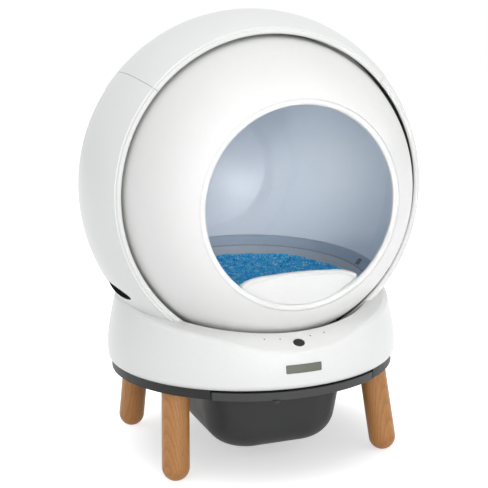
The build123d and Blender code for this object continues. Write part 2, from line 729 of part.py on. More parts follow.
with BuildPart() as liner_edge:
    add(ellipsoid(liner_outer, liner_outer, drum_forward))
    add(ellipsoid(band_radius, band_radius, drum_forward), mode=Mode.SUBTRACT)
    split(bisect_by=edge_plane.offset(-liner_band), keep=Keep.TOP)
with BuildPart() as litter_liner:
    add(ellipsoid(liner_outer, liner_outer, drum_forward))
    add(ellipsoid(liner_inner, liner_inner, drum_forward), mode=Mode.SUBTRACT)
    add(liner_edge.part)
    with BuildSketch(clip_plane):
        with Locations(clip_spot):
            RectangleRounded(clip_width + 2 * seat_gap, clip_height + 2 * seat_gap, clip_height / 4)
    extrude(amount=2 * (drum_radius + overrun), mode=Mode.SUBTRACT)
    split(bisect_by=edge_plane, keep=Keep.BOTTOM)
    split(bisect_by=face_plane(-liner_front), keep=Keep.BOTTOM)
litter_liner.part.label = "litter_liner"
export_step(litter_liner.part, "parts/litter_liner.step")

# Litter: one closed solid, a little lower in front
litter_radius = band_radius - litter_gap
litter_back_reach = cap_reach(litter_drop, litter_radius) - drum_forward
litter_plane = Plane(origin=(0, ball_y + litter_back_reach, ball_height - litter_drop), x_dir=(1, 0, 0),
                     z_dir=(0, -sin(radians(litter_slope)), cos(radians(litter_slope))))
with BuildPart() as litter_bed:
    add(ellipsoid(litter_radius, litter_radius, drum_forward))
    split(bisect_by=litter_plane, keep=Keep.BOTTOM)
    split(bisect_by=face_plane(-litter_front), keep=Keep.BOTTOM)
litter_bed.part.label = "litter_bed"
export_step(litter_bed.part, "parts/litter_bed.step")


def flank_angle(radius, base):
    """Involute angle, in radians, at a radius outside the base circle."""
    reach = sqrt(max((radius / base) ** 2 - 1, 0))
    return reach - atan2(reach, 1)


def gear_points(teeth, turn):
    """Points of a gear's outline, each tooth with three points on each involute flank."""
    pitch = gear_module * teeth / 2
    base = pitch * cos(radians(pressure_angle))
    tip = pitch + gear_module
    root = pitch - (1 + gear_root_share) * gear_module
    half = (pi * gear_module / 2 - gear_backlash / 2) / (2 * pitch)
    at_pitch = flank_angle(pitch, base)
    points = []
    for tooth in range(teeth):
        middle = 2 * pi * tooth / teeth + radians(turn)
        flank = []
        for radius in (max(base, root), pitch, tip):
            spread = half + at_pitch - flank_angle(radius, base)
            flank.append((radius, spread))
        low = (root, flank[0][1])
        for radius, spread in [low] + flank:
            points.append((radius * cos(middle - spread), radius * sin(middle - spread)))
        for radius, spread in flank[::-1] + [low]:
            points.append((radius * cos(middle + spread), radius * sin(middle + spread)))
    clean = []
    for point in points:
        if not clean or (Vector(*point) - Vector(*clean[-1])).length > point_apart:
            clean.append(point)
    return clean + [clean[0]]


# Ring gear on the rear bowl. A tooth of the ring points at the pinion's axis.
mesh_turn = pinion_angle - 90
with BuildPart() as ring_gear:
    with BuildSketch(face_plane(gear_back + gear_width / 2)):
        with BuildLine():
            Polyline(*gear_points(gear_teeth, mesh_turn))
        make_face()
        Circle(pitch_radius - gear_module - gear_rim, mode=Mode.SUBTRACT)
    extrude(amount=gear_width)
    with BuildSketch(face_plane(gear_back + gear_web / 2)):
        Circle(pitch_radius - gear_module - gear_rim / 2)
    extrude(amount=gear_web)
    add(drum_seat, mode=Mode.SUBTRACT)
ring_gear.part.label = "ring_gear"
export_step(ring_gear.part, "parts/ring_gear.step")

# Drive pinion with its shaft
pinion_plane = Plane(origin=(pinion_x, ball_y + gear_back + pinion_width / 2, pinion_z),
                     x_dir=(1, 0, 0), z_dir=(0, -1, 0))
gearbox_front = gear_back + pinion_width / 2 + 2 * run_gap + gear_width
with BuildPart() as drive_pinion:
    with BuildSketch(pinion_plane):
        with BuildLine():
            Polyline(*gear_points(pinion_teeth, mesh_turn + 180 + 180 / pinion_teeth))
        make_face()
    extrude(amount=pinion_width)
    with BuildSketch(pinion_plane):
        Circle(pinion_shaft)
    extrude(amount=-pinion_shaft_length)
drive_pinion.part.label = "drive_pinion"
export_step(drive_pinion.part, "parts/drive_pinion.step")


def drive_plane(reach):
    """Plane across the pinion's axis."""
    return Plane(origin=(pinion_x, ball_y + reach, pinion_z), x_dir=(1, 0, 0), z_dir=(0, -1, 0))


gearbox_back = gearbox_front + gearbox_length
with BuildPart() as gearbox:
    with BuildSketch(drive_plane(gearbox_back)):
        Circle(gearbox_radius)
    extrude(amount=gearbox_length)
    with BuildSketch(drive_plane(gearbox_front)):
        Circle(pinion_shaft + pin_fit)
    extrude(amount=-(pinion_shaft_length - gear_width), mode=Mode.SUBTRACT)
    add(seat_solid, mode=Mode.SUBTRACT)
gearbox.part.label = "gearbox"
export_step(gearbox.part, "parts/gearbox.step")

with BuildPart() as drive_motor:
    with BuildSketch(drive_plane(gearbox_back + motor_length)):
        Circle(motor_radius)
    extrude(amount=motor_length)
    with BuildSketch(drive_plane(gearbox_back + motor_length)):
        Circle(motor_boss)
    extrude(amount=-motor_boss_length)
    add(seat_solid, mode=Mode.SUBTRACT)
drive_motor.part.label = "drive_motor"
export_step(drive_motor.part, "parts/drive_motor.step")

# Bracket that carries the gearbox on the base
bracket_foot = ring_bottom + ring_wall
bracket_half = gearbox_radius - bracket_thick
foot_front = slot_back + ring_wall + 2 * run_gap
foot_back = ball_y + gearbox_back
with BuildPart() as motor_bracket:
    with BuildSketch(drive_plane(gearbox_back)):
        with Locations((0, (bracket_foot - pinion_z) / 2)):
            Rectangle(2 * bracket_half, pinion_z - bracket_foot)
        Circle(gearbox_radius + bracket_thick)
        Circle(gearbox_radius, mode=Mode.SUBTRACT)
    extrude(amount=bracket_thick)
    with BuildSketch(Plane.XY.offset(bracket_foot)):
        with Locations((pinion_x, (foot_front + foot_back) / 2)):
            Rectangle(2 * bracket_half, foot_back - foot_front)
    extrude(amount=bracket_thick)
    add(seat_solid, mode=Mode.SUBTRACT)
motor_bracket.part.label = "motor_bracket"
export_step(motor_bracket.part, "parts/motor_bracket.step")


def roller_plane(side, reach):
    """Plane across a roller's axis: local Y points out from the drum."""
    angle = radians(roller_angle)
    return Plane(
        origin=(side * roller_reach * sin(angle), ball_y + reach, ball_height - roller_reach * cos(angle)),
        x_dir=(side * cos(angle), 0, sin(angle)),
        z_dir=(0, -side, 0),
    )


track_middle = -track_front + track_width / 2
for side, name in ((-1, "roller_left"), (1, "roller_right")):
    with BuildPart() as roller:
        with BuildSketch(roller_plane(side, track_middle)):
            Circle(roller_radius)
        extrude(amount=roller_width / 2, both=True)
        with BuildSketch(roller_plane(side, track_middle)):
            Circle(roller_pin + pin_fit)
        extrude(amount=roller_width, both=True, mode=Mode.SUBTRACT)
    roller.part.label = name
    export_step(roller.part, "parts/" + name + ".step")

roller_void = ellipsoid(ball_radius - shell_wall - seat_gap, ball_depth - shell_wall - seat_gap, 0)
with BuildPart() as roller_brackets:
    for side in (-1, 1):
        for end in (-1, 1):
            cheek = track_middle + end * (roller_width / 2 + run_gap + bracket_cheek / 2)
            with BuildSketch(roller_plane(side, cheek)):
                Circle(roller_pin * 2)
                with Locations((0, -overrun / 2)):
                    Rectangle(4 * roller_pin, overrun)
            extrude(amount=bracket_cheek / 2, both=True)
        with BuildSketch(roller_plane(side, track_middle)):
            Circle(roller_pin)
        extrude(amount=roller_width / 2 + run_gap + bracket_cheek, both=True)
    add(roller_void, mode=Mode.INTERSECT)
roller_brackets.part.label = "roller_brackets"
export_step(roller_brackets.part, "parts/roller_brackets.step")

# Base skirt: outer wall, shelf and rear deck, with a collar that follows the ball
collar_radius = drum_radius + collar_gap
collar_cut = ellipsoid(collar_radius, collar_radius, drum_forward)
collar_outer = ellipsoid(collar_radius + skirt_wall, collar_radius + skirt_wall, drum_forward)
with BuildPart() as skirt_seat:
    add(ellipsoid(ball_radius + seat_gap, ball_depth + seat_gap, 0))
    split(bisect_by=face_plane(-rim_setback - seat_gap), keep=Keep.BOTTOM)
with BuildPart() as skirt_seat_outer:
    add(ellipsoid(ball_radius + skirt_wall, ball_depth + skirt_wall, 0))
    split(bisect_by=face_plane(-rim_setback - skirt_wall), keep=Keep.BOTTOM)

with BuildPart() as skirt_core:
    add(skirt_solid(0))
    add(deck_solid(0), mode=Mode.INTERSECT)
    high_edges = [e for e in skirt_core.edges() if e.bounding_box().min.Z > skirt_bottom + deck_height / 4]
    fillet([e for e in high_edges if e.geom_type != GeomType.LINE], skirt_rim_round)
with BuildPart() as skirt_void:
    add(skirt_solid(skirt_wall))
    add(deck_solid(skirt_wall), mode=Mode.INTERSECT)
with BuildPart() as collar_keep:
    add(collar_outer)
    add(skirt_seat_outer.part)
    split(bisect_by=Plane.XY.offset(collar_bottom), keep=Keep.TOP)

# Shelf: the straight stretch of the deck in front
shelf_low, shelf_high = [(-base_skirt_radius * r, skirt_bottom + (skirt_side_top - skirt_bottom) * h)
                         for r, h in deck_share[1:3]]
shelf_slope = atan2(shelf_high[1] - shelf_low[1], shelf_high[0] - shelf_low[0])
sensor_rise = shelf_low[1] + (-sensor_ahead - shelf_low[0]) * tan(shelf_slope)
shelf_plane = Plane(origin=(0, -sensor_ahead, sensor_rise), x_dir=(1, 0, 0),
                    z_dir=(0, -sin(shelf_slope), cos(shelf_slope)))
light_spots = [(light_shift + side * apart, step) for side in (-1, 1)
               for apart, step in ((light_apart, light_step), (light_inner_apart, light_inner_step))]
board_top = skirt_wall + board_drop

with BuildPart() as skirt_hollow:
    add(skirt_void.part)
    add(collar_keep.part, mode=Mode.SUBTRACT)
inlet_y = sqrt(base_skirt_radius ** 2 - inlet_x ** 2)
inlet_plane = Plane(origin=(inlet_x, inlet_y, skirt_bottom + inlet_rise),
                    x_dir=(-1, 0, 0), z_dir=(0, 1, 0))
with BuildPart() as base_skirt:
    add(skirt_core.part)
    add(skirt_hollow.part, mode=Mode.SUBTRACT)
    # posts for the control board, under the shelf
    with BuildSketch(shelf_plane.offset(-board_top)):
        with Locations((0, board_up)):
            with GridLocations(board_length - 4 * board_post, board_width - 4 * board_post, 2, 2):
                Circle(board_post)
    extrude(amount=board_top - skirt_wall / 2)
    add(collar_cut, mode=Mode.SUBTRACT)
    add(skirt_seat.part, mode=Mode.SUBTRACT)
    with BuildSketch(shelf_plane.offset(overrun / 4)):
        with Locations((fascia_shift, 0)):
            Ellipse(sensor_wide / 2 + seat_gap, sensor_long / 2 + seat_gap)
        with Locations(*light_spots):
            Circle(light_radius + seat_gap)
    extrude(amount=-overrun / 4 - board_top, mode=Mode.SUBTRACT)
    with BuildSketch(inlet_plane.offset(overrun / 2)):
        Rectangle(inlet_width, inlet_height)
    extrude(amount=-overrun, mode=Mode.SUBTRACT)
    # room for the pinion, the gearbox and the motor in the collar
    with BuildSketch(drive_plane(gearbox_front)):
        Circle(pinion_tip + 2 * run_gap)
    extrude(amount=gearbox_front - gear_back + pinion_width, mode=Mode.SUBTRACT)
    with BuildSketch(drive_plane(gearbox_back + motor_length + 2 * run_gap)):
        Circle(gearbox_radius + bracket_thick + 2 * run_gap)
    extrude(amount=gearbox_length + motor_length + 3 * run_gap, mode=Mode.SUBTRACT)
base_skirt.part.label = "base_skirt"
export_step(base_skirt.part, "parts/base_skirt.step")

with BuildPart() as sensor_window:
    with BuildSketch(shelf_plane.offset(-board_top)):
        with Locations((fascia_shift, 0)):
            Ellipse(sensor_wide / 2, sensor_long / 2)
    extrude(amount=board_top)
sensor_window.part.label = "sensor_window"
export_step(sensor_window.part, "parts/sensor_window.step")

with BuildPart() as status_lights:
    with BuildSketch(shelf_plane.offset(-board_top)):
        with Locations(*light_spots):
            Circle(light_radius)
    extrude(amount=board_top)
status_lights.part.label = "status_lights"
export_step(status_lights.part, "parts/status_lights.step")

with BuildPart() as control_board:
    with BuildSketch(shelf_plane.offset(-board_top - board_thick)):
        with Locations((0, board_up)):
            Rectangle(board_length, board_width)
    extrude(amount=board_thick)
control_board.part.label = "control_board"
export_step(control_board.part, "parts/control_board.step")

# Bare plate on the front of the skirt, bent to the skirt's round
with BuildPart() as badge_plate:
    with BuildSketch(Plane.XZ.offset(base_skirt_radius - overrun)):
        with Locations((fascia_shift, skirt_bottom + badge_rise)):
            RectangleRounded(badge_length, badge_height, badge_round)
    extrude(amount=2 * overrun)
    add(skirt_solid(-badge_thick), mode=Mode.INTERSECT)
    add(skirt_solid(0), mode=Mode.SUBTRACT)
badge_plate.part.label = "badge_plate"
export_step(badge_plate.part, "parts/badge_plate.step")

# Power inlet at the back: a socket with its pin, and nothing plugged in
with BuildPart() as power_inlet:
    with BuildSketch(inlet_plane.offset(overrun / 2)):
        Rectangle(inlet_width - 2 * seat_gap, inlet_height - 2 * seat_gap)
    extrude(amount=-overrun / 2 - inlet_depth)
    add(skirt_solid(0), mode=Mode.INTERSECT)
    with BuildSketch(inlet_plane.offset(overrun / 2)):
        Circle(inlet_bore)
        Circle(inlet_pin, mode=Mode.SUBTRACT)
    extrude(amount=-overrun / 2 - inlet_depth + skirt_wall, mode=Mode.SUBTRACT)
power_inlet.part.label = "power_inlet"
export_step(power_inlet.part, "parts/power_inlet.step")

# Base ring: a dark tray under the skirt, open in front for the drawer
boss_top = ring_bottom + 2 * ring_wall
with BuildPart() as base_ring:
    with BuildSketch(Plane.XY.offset(ring_bottom)) as ring_plan:
        Circle(ring_radius)
        with Locations((0, slot_back - ring_radius)):
            Rectangle(2 * slot_half, 2 * ring_radius, mode=Mode.SUBTRACT)
    extrude(amount=ring_top - ring_bottom)
    with BuildSketch(Plane.XY.offset(ring_bottom + ring_wall)):
        Circle(ring_radius - ring_wall)
        with Locations((0, slot_back + ring_wall - ring_radius)):
            Rectangle(2 * slot_half + 2 * ring_wall, 2 * ring_radius, mode=Mode.SUBTRACT)
    extrude(amount=ring_top, mode=Mode.SUBTRACT)
    with BuildSketch(Plane.XY.offset(ring_bottom + ring_wall)):
        with GridLocations(2 * leg_top_x, 2 * leg_top_y, 2, 2):
            Circle(leg_boss)
    extrude(amount=boss_top - ring_bottom - ring_wall)
    with BuildSketch(Plane.XY.offset(ring_bottom)):
        with GridLocations(2 * leg_top_x, 2 * leg_top_y, 2, 2):
            Circle(bolt_radius + seat_gap)
    extrude(amount=ring_top, mode=Mode.SUBTRACT)
base_ring.part.label = "base_ring"
export_step(base_ring.part, "parts/base_ring.step")

# Four turned legs with round ends, leaning outwards
leg_sides = (("leg_front_left", -1, -1), ("leg_front_right", 1, -1),
             ("leg_rear_left", -1, 1), ("leg_rear_right", 1, 1))
for name, side_x, side_y in leg_sides:
    end = (side_x * leg_x, side_y * leg_y, sqrt(leg_radius ** 2 - leg_foot ** 2))
    with BuildPart() as leg:
        with BuildSketch(Plane(origin=end, x_dir=(1, 0, side_x * leg_splay_x),
                               z_dir=(-side_x * leg_splay_x, -side_y * leg_splay_y, 1))):
            Circle(leg_radius)
        extrude(amount=ring_bottom + leg_radius)
        with Locations(end):
            Sphere(leg_radius)
        split(bisect_by=Plane.XY, keep=Keep.TOP)
        split(bisect_by=Plane.XY.offset(ring_bottom), keep=Keep.BOTTOM)
        with BuildSketch(Plane.XY.offset(ring_bottom)):
            with Locations((side_x * leg_top_x, side_y * leg_top_y)):
                Circle(bolt_radius + seat_gap)
        extrude(amount=-bolt_grip - seat_gap, mode=Mode.SUBTRACT)
    leg.part.label = name
    export_step(leg.part, "parts/" + name + ".step")

# Bolts that hold the legs, all alike, with a washer under each head
with BuildPart() as leg_bolts:
    with BuildSketch(Plane.XY.offset(ring_bottom - bolt_grip)):
        with GridLocations(2 * leg_top_x, 2 * leg_top_y, 2, 2):
            Circle(bolt_radius)
    extrude(amount=bolt_grip + boss_top - ring_bottom + washer_thick)
    with BuildSketch(Plane.XY.offset(boss_top)):
        with GridLocations(2 * leg_top_x, 2 * leg_top_y, 2, 2):
            Circle(washer_radius)
    extrude(amount=washer_thick)
    with BuildSketch(Plane.XY.offset(boss_top + washer_thick)):
        with GridLocations(2 * leg_top_x, 2 * leg_top_y, 2, 2):
            RegularPolygon(bolt_head, 6)
    extrude(amount=bolt_head_thick)
leg_bolts.part.label = "leg_bolts"
export_step(leg_bolts.part, "parts/leg_bolts.step")

# Chute between the shell's waste opening and the bin
frame_top = frame_bottom + frame_thick
tub_top = frame_top + tub_flange_thick
chute_bottom = tub_top + chute_gap
with BuildPart() as waste_chute:
    with BuildSketch(Plane.XY.offset(chute_bottom)):
        with Locations((0, chute_middle)):
            Rectangle(2 * chute_half - 2 * seat_gap, chute_length - 2 * seat_gap)
            Rectangle(2 * chute_half - 2 * chute_wall, chute_length - 2 * chute_wall,
                      mode=Mode.SUBTRACT)
    extrude(amount=ball_height - chute_bottom - drum_radius / 2)
    add(shell_void, mode=Mode.SUBTRACT)
waste_chute.part.label = "waste_chute"
export_step(waste_chute.part, "parts/waste_chute.step")


def tub_form(inset, top):
    """The waste bin's tapered form, with its walls moved in by the inset."""
    with BuildPart() as form:
        with BuildSketch(Plane.XY.offset(tub_bottom + inset)):
            with Locations((0, (tub_back - tub_front_bottom) / 2)):
                RectangleRounded(2 * (tub_bottom_half - inset), tub_back + tub_front_bottom - 2 * inset,
                                 tub_corner - inset)
        with BuildSketch(Plane.XY.offset(top)):
            with Locations((0, (tub_back - tub_front_top) / 2)):
                RectangleRounded(2 * (tub_top_half - inset), tub_back + tub_front_top - 2 * inset,
                                 tub_corner - inset)
        loft(ruled=True)
        fillet(form.edges().group_by(Axis.Z)[0], tub_edge_round - inset)
    return form.part


# Waste tub: hangs by its flange in the drawer's frame
with BuildPart() as waste_tub:
    add(tub_form(0, tub_top))
    with BuildSketch(Plane.XY.offset(frame_top)):
        with Locations((0, (tub_back - tub_front_top) / 2)):
            RectangleRounded(2 * (tub_top_half + tub_flange), tub_back + tub_front_top + 2 * tub_flange,
                             tub_corner + tub_flange)
    extrude(amount=tub_flange_thick)
    add(tub_form(tub_wall, tub_top), mode=Mode.SUBTRACT)
waste_tub.part.label = "waste_tub"
export_step(waste_tub.part, "parts/waste_tub.step")

# Drawer: curved front, and the frame that the tub hangs in
front_half = slot_half - front_gap
with BuildPart() as drawer_front:
    with BuildSketch(Plane.XY.offset(ring_bottom - front_drop)):
        Circle(ring_radius)
        Circle(ring_radius - front_thick, mode=Mode.SUBTRACT)
        with Locations((0, -ring_radius)):
            Rectangle(2 * front_half, 2 * ring_radius, mode=Mode.INTERSECT)
    extrude(amount=ring_top - front_top_gap - ring_bottom + front_drop)
    with BuildSketch(Plane.XY.offset(frame_bottom)):
        Circle(ring_radius - front_thick / 2)
        with Locations((0, frame_back - ring_radius)):
            Rectangle(2 * frame_half, 2 * ring_radius, mode=Mode.INTERSECT)
        with Locations((0, (tub_back - tub_front_top) / 2)):
            RectangleRounded(2 * (tub_top_half + tub_gap), tub_back + tub_front_top + 2 * tub_gap,
                             tub_corner + tub_gap, mode=Mode.SUBTRACT)
    extrude(amount=frame_thick)
    # finger pull, open underneath, behind the front skin
    with BuildSketch(Plane.XY.offset(ring_bottom - front_drop - overrun)):
        Circle(ring_radius - front_thick / 3)
        with Locations((0, -ring_radius)):
            Rectangle(2 * pull_half, 2 * ring_radius, mode=Mode.INTERSECT)
    extrude(amount=overrun + pull_height, mode=Mode.SUBTRACT)
drawer_front.part.label = "drawer_front"
export_step(drawer_front.part, "parts/drawer_front.step")

# Rails in the slot's two sides, under the edges of the drawer's frame
rail_front = sqrt((ring_radius - front_thick) ** 2 - slot_half ** 2) - 2 * run_gap
with BuildPart() as drawer_rails:
    with BuildSketch(Plane.XY.offset(frame_bottom - run_gap - rail_thick)):
        for side in (-1, 1):
            with Locations((side * (slot_half - rail_ledge / 2), (slot_back - rail_front) / 2)):
                Rectangle(rail_ledge, slot_back + rail_front)
    extrude(amount=rail_thick)
drawer_rails.part.label = "drawer_rails"
export_step(drawer_rails.part, "parts/drawer_rails.step")
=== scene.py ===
# %% [markdown]
# # A self cleaning litter box, dressed for a studio picture
#
# The measured frame of this box is already made: its pieces, joints and sizes come from a packed CAD
# model. This lesson gives it its looks. We load the frame, rebuild the pieces that the eye rests on as
# smooth meshes, paint every surface with nodes, and light the whole on a pale floor. Everything is in
# metres, the entry faces -Y and Z is up.

# %% Load the frame and keep its box
import math

import bpy
import numpy as np
from mathutils import Matrix, Vector, noise
from mathutils.bvhtree import BVHTree


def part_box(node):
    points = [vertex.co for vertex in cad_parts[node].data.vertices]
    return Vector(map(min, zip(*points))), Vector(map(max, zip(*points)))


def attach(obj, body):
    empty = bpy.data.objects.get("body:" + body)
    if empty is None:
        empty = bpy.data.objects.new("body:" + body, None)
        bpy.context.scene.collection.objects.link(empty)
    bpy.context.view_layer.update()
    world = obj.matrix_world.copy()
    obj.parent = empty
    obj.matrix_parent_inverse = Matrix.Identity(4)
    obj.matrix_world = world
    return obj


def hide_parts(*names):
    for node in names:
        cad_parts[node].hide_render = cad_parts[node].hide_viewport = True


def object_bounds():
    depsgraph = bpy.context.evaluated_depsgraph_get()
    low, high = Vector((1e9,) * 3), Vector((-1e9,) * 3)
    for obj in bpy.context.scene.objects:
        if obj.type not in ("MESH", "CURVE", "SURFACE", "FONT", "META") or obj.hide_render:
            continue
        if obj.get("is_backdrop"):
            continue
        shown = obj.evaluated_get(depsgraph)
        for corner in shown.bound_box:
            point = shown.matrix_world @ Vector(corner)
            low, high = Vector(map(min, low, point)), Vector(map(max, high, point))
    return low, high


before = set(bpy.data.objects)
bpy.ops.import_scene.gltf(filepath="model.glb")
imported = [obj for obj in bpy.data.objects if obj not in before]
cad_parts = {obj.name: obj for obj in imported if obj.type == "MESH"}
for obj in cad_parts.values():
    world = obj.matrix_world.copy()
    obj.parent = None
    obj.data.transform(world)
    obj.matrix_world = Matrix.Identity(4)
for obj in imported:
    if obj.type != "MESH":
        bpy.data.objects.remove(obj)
cad_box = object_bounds()
scene = bpy.context.scene
print("nodes in the frame:", len(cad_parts))

# %% [markdown]
# ## The sizes that everything follows
#
# The shell is a ball, a little flatter from front to back, and the drum is a true sphere inside it
# whose centre lies further forward. Pieces inside the drum are placed from that centre. We read the
# ball's width and height from the frame, so that nothing here has to be measured twice.

# %% Ball and drum
shell_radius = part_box("shell_body")[1].x
ball = Vector((0, -0.0138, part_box("hood")[1].z - shell_radius))
drum_forward = 0.028
drum_centre = ball - Vector((0, drum_forward, 0))
print("centre of the ball:", [round(v, 4) for v in ball])

# %% [markdown]
# ## Small helpers for meshes
#
# A piece is a list of corners and a list of faces, made into an object in one call. Each one rides on a
# body of the frame, so that it moves when the drum turns or the drawer slides, and each may stand for a
# node of the frame, which is then hidden. A bevel on the sharp edges gives the thin line of light that
# moulded plastic shows.


# %% Make an object from corners and faces
def piece(name, corners, faces, body, replaces=(), slot=None, bevel=0.0, sharp=40.0):
    """A mesh object that rides on a body of the frame."""
    mesh = bpy.data.meshes.new(name)
    mesh.from_pydata([tuple(c) for c in corners], [], faces)
    mesh.validate()
    mesh.update()
    thing = bpy.data.objects.new(name, mesh)
    scene.collection.objects.link(thing)
    mesh.shade_smooth()
    if bevel:
        edge = thing.modifiers.new("edges", "BEVEL")
        edge.width = bevel
        edge.segments = 3
        edge.limit_method = "ANGLE"
        edge.angle_limit = math.radians(sharp)
        edge.harden_normals = True
    else:
        mesh.set_sharp_from_angle(angle=math.radians(sharp))
    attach(thing, body)
    for node in replaces:
        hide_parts(node)
    print("piece", name, "with", len(faces), "faces")
    return thing


# %% [markdown]
# ## Shader maths written as Python
#
# A finish is a material whose colour, roughness and relief vary over the surface. Wiring that by hand
# is long, so a small class wraps a socket: a sum or a product of two wires adds the Math node for it,
# also when the number comes first, as in 1 - mask.


# %% A wire that can be used in sums
class Wire:
    """An output socket that can be used in sums."""

    def __init__(self, finish, socket):
        self.finish = finish
        self.socket = socket

    def sum_with(self, operation, first, second):
        return self.finish.node("Math", {"operation": operation}, {0: first, 1: second})

    def __add__(self, other):
        return self.sum_with("ADD", self, other)

    def __radd__(self, other):
        return self.sum_with("ADD", other, self)

    def __sub__(self, other):
        return self.sum_with("SUBTRACT", self, other)

    def __rsub__(self, other):
        return self.sum_with("SUBTRACT", other, self)

    def __mul__(self, other):
        return self.sum_with("MULTIPLY", self, other)

    def __rmul__(self, other):
        return self.sum_with("MULTIPLY", other, self)

    def __truediv__(self, other):
        return self.sum_with("DIVIDE", self, other)

    def __rtruediv__(self, other):
        return self.sum_with("DIVIDE", other, self)

    def __pow__(self, other):
        return self.sum_with("POWER", self, other)

    def __rpow__(self, other):
        return self.sum_with("POWER", other, self)


print("a wire can stand on either side of + - * / and **")

# %% [markdown]
# A second class holds the material itself. Every node that isn't a sum comes from one method, which
# takes the type, the settings, and the values or wires of its sockets. A handful of short methods then
# say what a maker would say: where a point is, a grain, a blend of two colours, a relief.


# %% A finish and its nodes
class Finish:
    """A material, or the world, whose nodes are built by short calls."""

    def __init__(self, name, material=None):
        self.material = material or bpy.data.materials.new(name)
        self.material.use_nodes = True
        self.nodes = self.material.node_tree.nodes
        self.links = self.material.node_tree.links
        self.shader = self.nodes.get("Principled BSDF")

    def join(self, value, socket):
        if isinstance(value, Wire):
            self.links.new(value.socket, socket)
        else:
            socket.default_value = value

    def node(self, kind, settings=None, sockets=None, out=0):
        made = self.nodes.new("ShaderNode" + kind)
        for key, value in (settings or {}).items():
            if key == "stops":
                self.fill_ramp(made.color_ramp, value)
            else:
                setattr(made, key, value)
        for key, value in (sockets or {}).items():
            self.join(value, made.inputs[key])
        return Wire(self, made.outputs[out])

    def fill_ramp(self, ramp, stops):
        while len(ramp.elements) > 1:
            ramp.elements.remove(ramp.elements[0])
        for index, (place, colour) in enumerate(stops):
            stop = ramp.elements[0] if index == 0 else ramp.elements.new(place)
            stop.position = place
            stop.color = colour

    def place(self):
        """Where a point is on the piece, in metres."""
        return self.node("TexCoord", out="Object")

    def stretched(self, scale):
        return self.node("VectorMath", {"operation": "MULTIPLY"}, {0: self.place(), 1: scale})

    def grain(self, scale, detail=2.0, stretch=None):
        """Noise from 0 to 1, scale waves in a metre."""
        where = self.stretched(stretch) if stretch else self.place()
        return self.node("TexNoise", {}, {"Vector": where, "Scale": scale, "Detail": detail})

    def blend(self, factor, first, second):
        """Mix of two colours."""
        return self.node("Mix", {"data_type": "RGBA"}, {0: factor, 6: first, 7: second}, out=2)

    def ramp(self, factor, stops, smooth="LINEAR"):
        made = self.node("ValToRGB", {"stops": stops}, {0: factor})
        made.socket.node.color_ramp.interpolation = smooth
        return made

    def relief(self, height, depth, strength=1.0, normal=None):
        """Bump of a height from 0 to 1, depth metres deep."""
        sockets = {"Height": height, "Distance": depth, "Strength": strength}
        if normal:
            sockets["Normal"] = normal
        return self.node("Bump", {}, sockets)

    def surface(self, **values):
        for name, value in values.items():
            self.join(value, self.shader.inputs[name.replace("_", " ").title().replace("Ior", "IOR")])
        return self.material


print("a finish has the short calls", [name for name in vars(Finish) if not name.startswith("_")])


# %% Colours as they look on a screen
def colour(red, green, blue):
    """A colour from 0 to 255 as a screen shows it, turned to the linear values that nodes use."""
    return tuple(((c / 255 + 0.055) / 1.055) ** 2.4 for c in (red, green, blue)) + (1.0,)


black = (0, 0, 0, 1)
white = (1, 1, 1, 1)
print("a grey of 128 is", round(colour(128, 128, 128)[0], 3), "as a node's value")


# %% [markdown]
# ## Satin white plastic
#
# The shell, the drum and the skirt are moulded white plastic. Real plastic is never one flat white: it
# is slightly warmer and greyer in wide soft clouds, dulled a little where hands and dust rub it, and
# the mould leaves a fine orange-peel texture. A flat white would do from far away, but light sliding
# over the big curves shows these small differences, so each of them is a low noise on colour, roughness
# and relief.


# %% White plastics
cloud_waves = 7.0         # in a metre: clouds a hand wide
dust_waves = 160.0
peel_waves = 1400.0
ripple_waves, ripple_deep = 26.0, 0.00004
wall_blur = 0.0003        # half the width of the step from a wall's outer to its inner tone
drum_wall_middle = 0.2462


def satin_white(name, tone, shade, rough=0.36, peel=0.000012, gloss=0.45, inside=None):
    """Moulded plastic between two near tones, with soft clouds and a fine orange peel.
    inside gives the centre, radius and two tones of a wall's inner side."""
    finish = Finish(name)
    clouds = finish.grain(cloud_waves, 3.0)
    dust = finish.grain(dust_waves, 4.0)
    base = finish.blend(clouds, tone, shade)
    if inside:
        centre, radius, inner_tone, inner_shade = inside
        far = finish.node("VectorMath", {"operation": "DISTANCE"},
                          {0: finish.place(), 1: centre}, out="Value")
        within = finish.node("MapRange", {}, {
            "Value": far, "From Min": radius + wall_blur, "From Max": radius - wall_blur})
        base = finish.blend(within, base, finish.blend(clouds, inner_tone, inner_shade))
    speck = finish.ramp(dust, [(0.0, black), (0.66, black), (0.86, white)])
    skin = finish.relief(finish.grain(peel_waves, 1.0), peel)
    return finish.surface(
        base_color=finish.blend(speck * 0.12, base, shade),
        roughness=clouds * 0.10 + dust * 0.06 + (rough - 0.08),
        normal=finish.relief(finish.grain(ripple_waves, 1.0), ripple_deep, 1.0, skin),
        specular_ior_level=gloss,
    )


shell_white = satin_white("shell_white", colour(234, 234, 233), colour(229, 229, 227))
drum_white = satin_white("drum_white", colour(233, 233, 231), colour(228, 228, 225), 0.40, inside=(
    drum_centre, drum_wall_middle, colour(230, 237, 245), colour(224, 231, 240)))
# the ring's white is a little darker than the drum's: painted shade against the lamp light that its face
# catches
trim_white_painted_shade = satin_white("trim_white_painted_shade", colour(228, 228, 226), colour(223, 223, 221), 0.50, gloss=0.3)
# the lip's white is darker still: painted shade against the light that its upturned front catches
lip_white = satin_white("lip_white", colour(216, 216, 215), colour(211, 211, 209), 0.50, gloss=0.3)
bowl_grey = satin_white("bowl_grey", colour(234, 240, 247), colour(228, 234, 242), 0.33, gloss=0.50)
print("white plastics made:", [m.name for m in (shell_white, drum_white, trim_white_painted_shade, lip_white, bowl_grey)])
